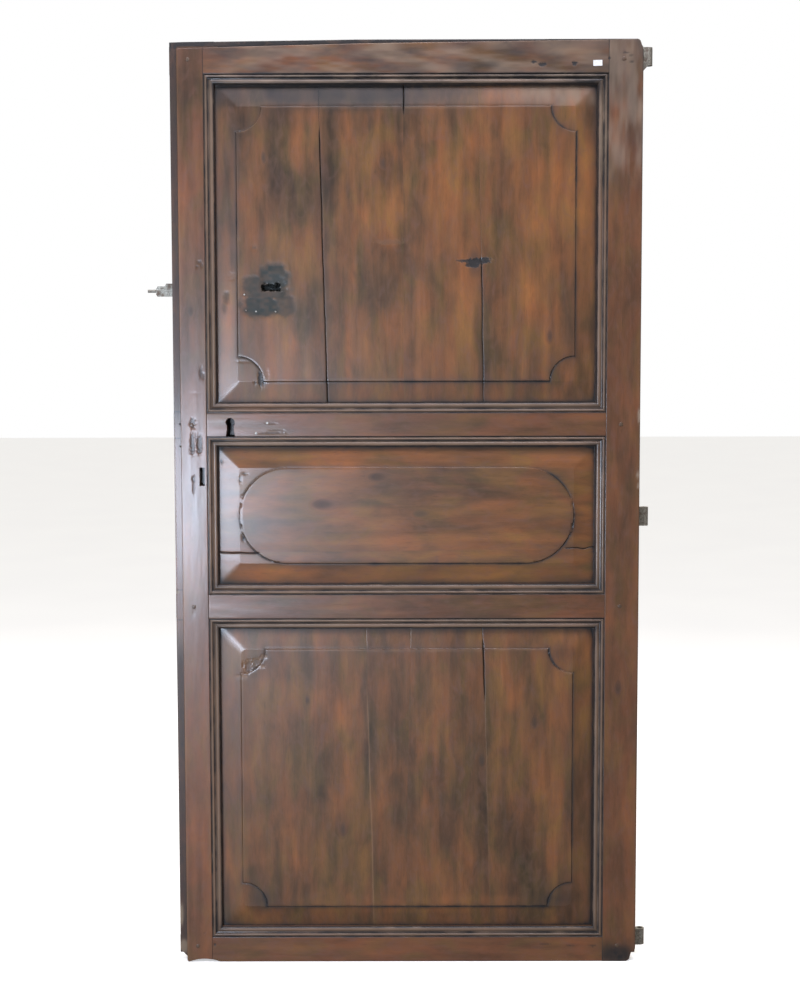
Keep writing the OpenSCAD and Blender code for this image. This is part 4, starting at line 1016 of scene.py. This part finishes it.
# %% [markdown]
# ## The ten boards
# The end boards of the large panels hold the hollow corners and need close points there. The
# upper panel also has close points round its broken opening and its torn knots.
# %% Make the boards
FINE_X = {0: ((196, 262, 1.7),), 2: ((650, 700, 2.0),), 3: ((690, 716, 2.0),)}
FINE_Z = {0: ((1482, 1600, 1.7),), 1: ((1640, 1660, 1.6),), 2: ((1590, 1622, 1.5),), 3: ((1590, 1622, 1.5),)}
for opening, seeds, fine_x, fine_z in (("top", 110, FINE_X, FINE_Z), ("bottom", 130, {}, {})):
    for i in range(4):
        board(f"{opening}_board_{i + 1}", opening, i, places(*SIGHT, 6.0, True, *fine_x.get(i, ())),
              places(*OPENINGS[opening], 6.0, i in (0, 3), *fine_z.get(i, ())), seeds + i)
low, high = OPENINGS["middle"]
round_end = (high - low) / 2 + 4
long_x = places(*SIGHT, 6.0, False, (SIGHT[0] + 51, SIGHT[0] + round_end, 1.6),
                (SIGHT[1] - round_end, SIGHT[1] - 51, 1.6))
long_z = places(low, high, 1.6, False)
for i, name in enumerate(("middle_board_lower", "middle_board_upper")):
    board(name, "middle", i, long_z, long_x, 150 + i)

# %% [markdown]
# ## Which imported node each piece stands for
# The woodwork made above takes the place of the plain solids. Moving parts, plates and nails
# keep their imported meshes.
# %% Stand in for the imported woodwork
STANDS_FOR = {f"{k}_wood": k for k in ("lock_stile", "hinge_stile", *(f"{k}_rail" for k in TENONS))}
STANDS_FOR |= {f"middle_board_{k}": f"middle_panel_{k}_board" for k in ("lower", "upper")}
STANDS_FOR |= {f"{k}_board_{i}": f"{k}_panel_board_{i}" for k in ("top", "bottom") for i in (1, 2, 3, 4)}
STANDS_FOR |= {f"{k}_tenon_{s}": f"{k}_rail" for k in TENONS for s in ("closing", "hinge")}
STANDS_FOR["curled_label"] = "paper_label"
STANDS_FOR |= {made.name: "joint_pegs" for made in PEGS}
for piece, node in STANDS_FOR.items():
    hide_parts(node)
print("stood for", sorted(set(STANDS_FOR.values())))

# %% [markdown]
# ## Colours and nodes
# Colours are written as the usual six-figure codes and turned to linear light by one function.
# Another adds one node to a material, sets it and links it, and every material below is made
# with it.
# %% Tools for materials
def paint(code):
    """A colour code as linear light: each part over 255, then the sRGB curve undone."""
    c = np.array([int(code[i:i + 2], 16) for i in (0, 2, 4)]) / 255.0
    return (*(float(v) for v in np.where(c <= 0.04045, c / 12.92, ((c + 0.055) / 1.055) ** 2.4)), 1.0)


def add(tree, kind, inputs=None, stops=None, **settings):
    """Adds a node. inputs are values, sockets or nodes, whose first working output is used; stops
    are places and colour codes of a ramp."""
    node = tree.nodes.new("ShaderNode" + kind)
    for name, value in settings.items():
        setattr(node, name, value)
    for key, value in (inputs or {}).items():
        if isinstance(value, bpy.types.Node):
            value = next(out for out in value.outputs if out.enabled)
        if isinstance(value, bpy.types.NodeSocket):
            tree.links.new(value, node.inputs[key])
        else:
            node.inputs[key].default_value = value
    if stops:
        ramp = node.color_ramp.elements
        while len(ramp) < len(stops):
            ramp.new(0.5)
        for element, (place, code) in zip(ramp, stops):
            element.position, element.color = place, paint(code)
    return node


def fresh(name):
    """A new empty material and its tree."""
    material = bpy.data.materials.new(name)
    material.use_nodes = True
    material.node_tree.nodes.clear()
    return material, material.node_tree


FACTOR, FIRST, SECOND = 0, 6, 7  # sockets of a Mix node that mixes colours
print("walnut brown", [round(v, 3) for v in paint("76523a")[:3]])

# %% [markdown]
# ## Waxed walnut
# The real thing is old walnut, darkened by age and stain and rubbed with beeswax for a century
# or two. The eye gets long soft streaks along the grain, cloudy patches of dark and amber, a
# satin gloss, black dirt in the corners and pale worn arrises; here the black is dirt with painted
# shade and the pale arrises carry painted highlights. The pores of walnut are under a third of a
# millimetre wide; they are drawn about 1.6 mm wide so that they still show.
# %% Material for the woodwork
NOISES = (  # size across, into and along the grain in millimetres, then detail and bend
    ((38, 38, 105), 4, 0.6),  # clouds
    ((9, 9, 120), 3, 0.6),  # streaks
    ((2.2, 2.2, 42), 2, 0.0),  # fibres
    ((1.6, 3.0, 20), 1, 0.0),  # pores
    ((17, 17, 34), 5, 1.0),  # spots
    ((50, 50, 115), 3, 0.8),  # hues
)


def wood(name, shades, cloud=1.0, gloss=0.34):
    """Clouds, streaks, fibres and spots are noises stretched along the grain, and their sum with
    the drift picks a shade from the ramp. Two more noises give hues and pores. The values at the
    points then lay on wear with painted highlights, dry bare wood with a painted sheen, end grain,
    dirt with painted shade, and iron stain."""
    material, tree = fresh(name)
    place = add(tree, "Attribute", attribute_name="grain").outputs["Vector"]
    marks = add(tree, "SeparateXYZ", {0: add(tree, "Attribute", attribute_name="marks").outputs["Vector"]})
    tones = add(tree, "SeparateXYZ", {0: add(tree, "Attribute", attribute_name="tones").outputs["Vector"]})
    dirt_and_shade, rub_and_highlight, stain = (marks.outputs[k] for k in "XYZ")
    drift, bare, grain_end = (tones.outputs[k] for k in "XYZ")
    made = []
    for size, detail, bend in NOISES:
        where = add(tree, "VectorMath", {0: place, 1: tuple(1 / s for s in size)}, operation="MULTIPLY")
        made.append(add(tree, "TexNoise", {"Vector": where, "Scale": 1.0, "Detail": detail,
                                          "Distortion": bend}).outputs["Fac"])
    clouds, streaks, fibres, pores, spots, hues = made
    shade = add(tree, "Math", {0: drift, 1: 0.30 * cloud, 2: 0.5}, operation="MULTIPLY_ADD")
    for noise, much in ((clouds, 0.62 * cloud), (streaks, 0.16), (fibres, 0.09), (spots, 0.22)):
        offset = add(tree, "Math", {0: noise, 1: 0.5}, operation="SUBTRACT")
        shade = add(tree, "Math", {0: offset, 1: much, 2: shade}, operation="MULTIPLY_ADD")
    colour = add(tree, "ValToRGB", {0: shade}, stops=shades)
    tint = add(tree, "ValToRGB", {0: hues}, stops=((0.36, "b9c08f"), (0.5, "c0b0a0"), (0.64, "cba894")))
    colour = add(tree, "Mix", {FACTOR: 0.42, FIRST: colour, SECOND: tint}, data_type="RGBA",
                 blend_type="OVERLAY")
    pore = add(tree, "MapRange", {0: pores, 1: 0.60, 2: 0.75, 3: 0.0, 4: 0.22})
    colour = add(tree, "Mix", {FACTOR: pore, FIRST: colour, SECOND: paint("35261d")}, data_type="RGBA")
    plum = add(tree, "MapRange", {0: spots, 1: 0.50, 2: 0.75, 3: 0.0, 4: 0.4})
    colour = add(tree, "Mix", {FACTOR: plum, FIRST: colour, SECOND: paint("5c4640")}, data_type="RGBA")
    ragged = add(tree, "Math", {0: spots, 1: 1.1, 2: 0.45}, operation="MULTIPLY_ADD")
    # pale wear with painted highlights, bare wood with a painted sheen, end grain, dark dirt with painted
    # shade, and iron stain
    for value, code in ((rub_and_highlight, "967455"), (bare, "7d6b59"), (grain_end, "57442f"), (dirt_and_shade, "1d1917"),
                        (stain, "2a302e")):
        if value is dirt_and_shade:
            value = add(tree, "Math", {0: value, 1: ragged}, operation="MULTIPLY", use_clamp=True)
        colour = add(tree, "Mix", {FACTOR: value, FIRST: colour, SECOND: paint(code)}, data_type="RGBA",
                     clamp_factor=True)
    rough = add(tree, "Math", {0: streaks, 1: 0.16, 2: gloss - 0.08}, operation="MULTIPLY_ADD")
    for value, much in ((dirt_and_shade, 0.25), (bare, 0.4), (stain, 0.45)):
        rough = add(tree, "Math", {0: value, 1: much, 2: rough}, operation="MULTIPLY_ADD", use_clamp=True)
    sunk = add(tree, "Math", {0: pore, 1: -1.2}, operation="MULTIPLY")
    relief = add(tree, "Math", {0: fibres, 1: 0.6, 2: sunk}, operation="MULTIPLY_ADD")
    bump = add(tree, "Bump", {"Height": relief, "Strength": 0.25, "Distance": 0.0005})
    shader = add(tree, "BsdfPrincipled", {"Base Color": colour, "Roughness": rough, "Normal": bump,
                                          "Coat Weight": 0.45, "Coat Roughness": 0.2})
    add(tree, "OutputMaterial", {"Surface": shader})
    return material


WALNUT = ((0.08, "3a2e22"), (0.32, "553f2b"), (0.50, "6a4a2f"), (0.68, "7c5432"), (0.92, "925f33"))
STILE_WALNUT = ((0.08, "3a2f25"), (0.32, "533c2b"), (0.50, "644530"), (0.68, "754e33"), (0.92, "875a37"))
FINISH = {"frame_wood": wood("waxed_walnut_frame", STILE_WALNUT, 0.85),
          "panel_wood": wood("waxed_walnut_panel", WALNUT),
          "peg_wood": wood("waxed_walnut_pegs", STILE_WALNUT, 0.5, 0.5)}
print("materials", list(FINISH))

# %% [markdown]
# ## Old iron
# The hinges, latch and lock are forged iron, once blackened and now brown-black with old rust
# in the hollows and grey where parts touch. The eye gets dark patches, a dull sheen and paler
# edges. One recipe with other colours serves the filed lock parts and the nail heads too.
# %% Material for the iron
def iron(name, dark, grey, rust, rusty, gloss):
    """Two noises over the object's own millimetres: patches choose grey metal or rust, and
    pits darken and dent both."""
    material, tree = fresh(name)
    where = add(tree, "TexCoord").outputs["Object"]
    patches = add(tree, "TexNoise", {"Vector": where, "Scale": 90.0, "Detail": 5.0,
                                     "Roughness": 0.6}).outputs["Fac"]
    pits = add(tree, "TexNoise", {"Vector": where, "Scale": 420.0, "Detail": 3.0}).outputs["Fac"]
    rusted = add(tree, "MapRange", {0: patches, 1: rusty - 0.08, 2: rusty + 0.08, 3: 1.0, 4: 0.0})
    pitted = add(tree, "MapRange", {0: pits, 1: 0.3, 2: 0.6, 3: 1.0, 4: 0.0})
    colour = add(tree, "Mix", {FACTOR: pitted, FIRST: paint(grey), SECOND: paint(dark)}, data_type="RGBA")
    colour = add(tree, "Mix", {FACTOR: rusted, FIRST: colour, SECOND: paint(rust)}, data_type="RGBA")
    metal = add(tree, "Math", {0: rusted, 1: -0.45, 2: 0.5}, operation="MULTIPLY_ADD")
    rough = add(tree, "Math", {0: rusted, 1: 0.3, 2: gloss}, operation="MULTIPLY_ADD")
    height = add(tree, "Math", {0: pits, 1: patches}, operation="ADD")
    bump = add(tree, "Bump", {"Height": height, "Strength": 0.5, "Distance": 0.0008})
    shader = add(tree, "BsdfPrincipled", {"Base Color": colour, "Roughness": rough, "Metallic": metal,
                                          "Normal": bump})
    add(tree, "OutputMaterial", {"Surface": shader})
    return material


FINISH["forged_iron"] = iron("forged_iron", "615f58", "a8a599", "63564a", 0.42, 0.42)
FINISH["lock_iron"] = iron("filed_iron", "55524c", "9a968c", "5c4839", 0.38, 0.36)
FINISH["nail_iron"] = iron("nail_iron", "55524c", "b0aca2", "5e4a3a", 0.36, 0.38)
print("iron", len(FINISH))

# %% [markdown]
# ## Paper
# The small label is plain rag paper, stuck on and never written on. It only needs to be pale,
# dull and a little blotched at its own scale.
# %% Material for the label
material, tree = fresh("label_paper")
where = add(tree, "TexCoord").outputs["Object"]
fibre = add(tree, "TexNoise", {"Vector": where, "Scale": 300.0, "Detail": 4.0})
colour = add(tree, "ValToRGB", {0: fibre.outputs["Fac"]}, stops=((0.3, "c9c8c4"), (0.7, "dedfdf")))
shader = add(tree, "BsdfPrincipled", {"Base Color": colour, "Roughness": 0.85})
add(tree, "OutputMaterial", {"Surface": shader})
FINISH["label_paper"] = material

# %% [markdown]
# ## Painting
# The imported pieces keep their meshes, so their empty slots are filled. The woodwork takes the
# finish that its slot names.
# %% Give every piece its finish
SLOTS = {"forged_iron": ("bottom_hinge", "middle_hinge", "top_hinge", "latch_bar", "latch_plate",
                         "latch_pivot", "latch_keeper", "lock_plate", "lock_cover"),
         "lock_iron": ("lock_bolt", "bolt_guide", "bolt_spring", "lock_ward"),
         "nail_iron": ("hinge_nails", "latch_nails", "lock_nails", "face_nails"),
         "label_paper": ("paper_label",)}
for finish, nodes in SLOTS.items():
    for node in nodes:
        for place in frame["nodes"][node].material_slots:
            place.material = FINISH[finish]
for name in STANDS_FOR:
    piece = bpy.data.objects[name]
    piece.data.materials.append(FINISH[piece["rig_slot"]])
print("painted", len(STANDS_FOR) + sum(map(len, SLOTS.values())))

# %% [markdown]
# ## Studio
# A pale floor in a dim room. Two cool lights like windows, low in front on the left, lie along
# the closing stile as a sheen. A wide soft light overhead draws the fine lines of the
# mouldings, a weak warm one fills in from the right, and one behind lights the back.
# %% Floor and lights
def stage_piece(name, data):
    """Links an object that isn't part of the door."""
    thing = bpy.data.objects.new(name, data)
    bpy.context.scene.collection.objects.link(thing)
    return thing


def stand(thing, at, side, up, back):
    """Puts a thing at a place, with its own x, y and z along side, up and back."""
    thing.matrix_world = Matrix([[side[i], up[i], back[i], at[i]] for i in range(3)] + [[0, 0, 0, 1]])


floor = bpy.data.meshes.new("floor")
floor_z, reach = float(CORNER[2]) - 0.0005, 30.0
floor.from_pydata([(-reach, -reach, floor_z), (reach, -reach, floor_z), (reach, reach, floor_z),
                   (-reach, reach, floor_z)], [], [(0, 1, 2, 3)])
stage_piece("floor", floor)
material, tree = fresh("pale_floor")
where = add(tree, "TexCoord").outputs["Object"]
clouds = add(tree, "TexNoise", {"Vector": where, "Scale": 1.5, "Detail": 3.0})
colour = add(tree, "ValToRGB", {0: clouds.outputs["Fac"]}, stops=((0.3, "f3f3f4"), (0.7, "f8f8f8")))
looked_at = add(tree, "LightPath").outputs["Is Camera Ray"]
colour = add(tree, "Mix", {FACTOR: looked_at, FIRST: paint("5f5b58"), SECOND: colour}, data_type="RGBA")
glow = add(tree, "Math", {0: looked_at, 1: 0.45}, operation="MULTIPLY")
shader = add(tree, "BsdfPrincipled", {"Base Color": colour, "Roughness": 0.7,
                                      "Emission Color": paint("f6f6f6"), "Emission Strength": glow})
add(tree, "OutputMaterial", {"Surface": shader})
floor.materials.append(material)

LIGHTS = {  # place, place it faces, width and height in metres, power, colour
    "window_near": ((-1.72, -3.9, 0.72), (-1.0, 0.0, 0.72), (0.62, 0.68), 56.0, "dbe9ff"),
    "window_far": ((-2.85, -3.9, 0.80), (-1.0, 0.0, 0.80), (0.75, 0.80), 60.0, "dbe9ff"),
    "overhead": ((-0.5, -1.7, 4.0), (-0.5, -0.3, 0.9), (3.2, 1.4), 130.0, "f4f2ff"),
    "warm_side": ((2.6, -2.8, 1.6), (-0.4, 0.0, 1.0), (1.4, 1.8), 10.0, "ffe9cf"),
    "behind": ((-0.2, 2.9, 3.1), (-0.5, 0.0, 1.1), (2.4, 1.6), 62.0, "fff4e6"),
}
for name, (at, towards, size, power, code) in LIGHTS.items():
    lamp = bpy.data.lights.new(name, "AREA")
    lamp.shape, lamp.size, lamp.size_y = "RECTANGLE", *size
    lamp.energy, lamp.color = power, paint(code)[:3]
    away = np.subtract(at, towards)
    away /= np.linalg.norm(away)
    side = np.cross((0.0, 0.0, 1.0), away)
    side /= np.linalg.norm(side)
    stand(stage_piece(name, lamp), at, side, np.cross(away, side), away)
bpy.data.objects["behind"].visible_camera = False

world = bpy.data.worlds.new("room")
bpy.context.scene.world = world
world.use_nodes = True
room = world.node_tree
room.nodes.clear()
rays = add(room, "LightPath")
dim = add(room, "Mix", {FACTOR: rays.outputs["Is Glossy Ray"], FIRST: paint("c9c6c1"),
                        SECOND: paint("2c2a2a")}, data_type="RGBA")
seen = add(room, "Mix", {FACTOR: rays.outputs["Is Camera Ray"], FIRST: dim, SECOND: paint("ffffff")},
           data_type="RGBA")
add(room, "OutputWorld", {"Surface": add(room, "Background", {"Color": seen, "Strength": 1.0})})
bpy.context.scene.view_settings.view_transform = "Standard"
print("lights", list(LIGHTS))

# %% [markdown]
# ## Camera
# The camera stands almost square to the face, a little above the middle of the leaf, and looks
# slightly down.
# %% Camera
STANDS_AT = (-0.553, -3.75, 1.321)
cam = bpy.data.cameras.new("camera")
cam.lens, cam.sensor_width = 58.97, 36.0
camera = stage_piece("camera", cam)
yaw, pitch, roll = np.radians((-0.098, 4.514, -0.117))
forward = np.array([np.sin(yaw) * np.cos(pitch), np.cos(yaw) * np.cos(pitch), -np.sin(pitch)])
right = np.array([np.cos(yaw), -np.sin(yaw), 0.0])
upward = np.cross(right, forward)
stand(camera, STANDS_AT, right * np.cos(roll) + upward * np.sin(roll),
      upward * np.cos(roll) - right * np.sin(roll), -forward)
bpy.context.scene.camera = camera
print("camera", [round(v, 3) for v in camera.matrix_world.translation])
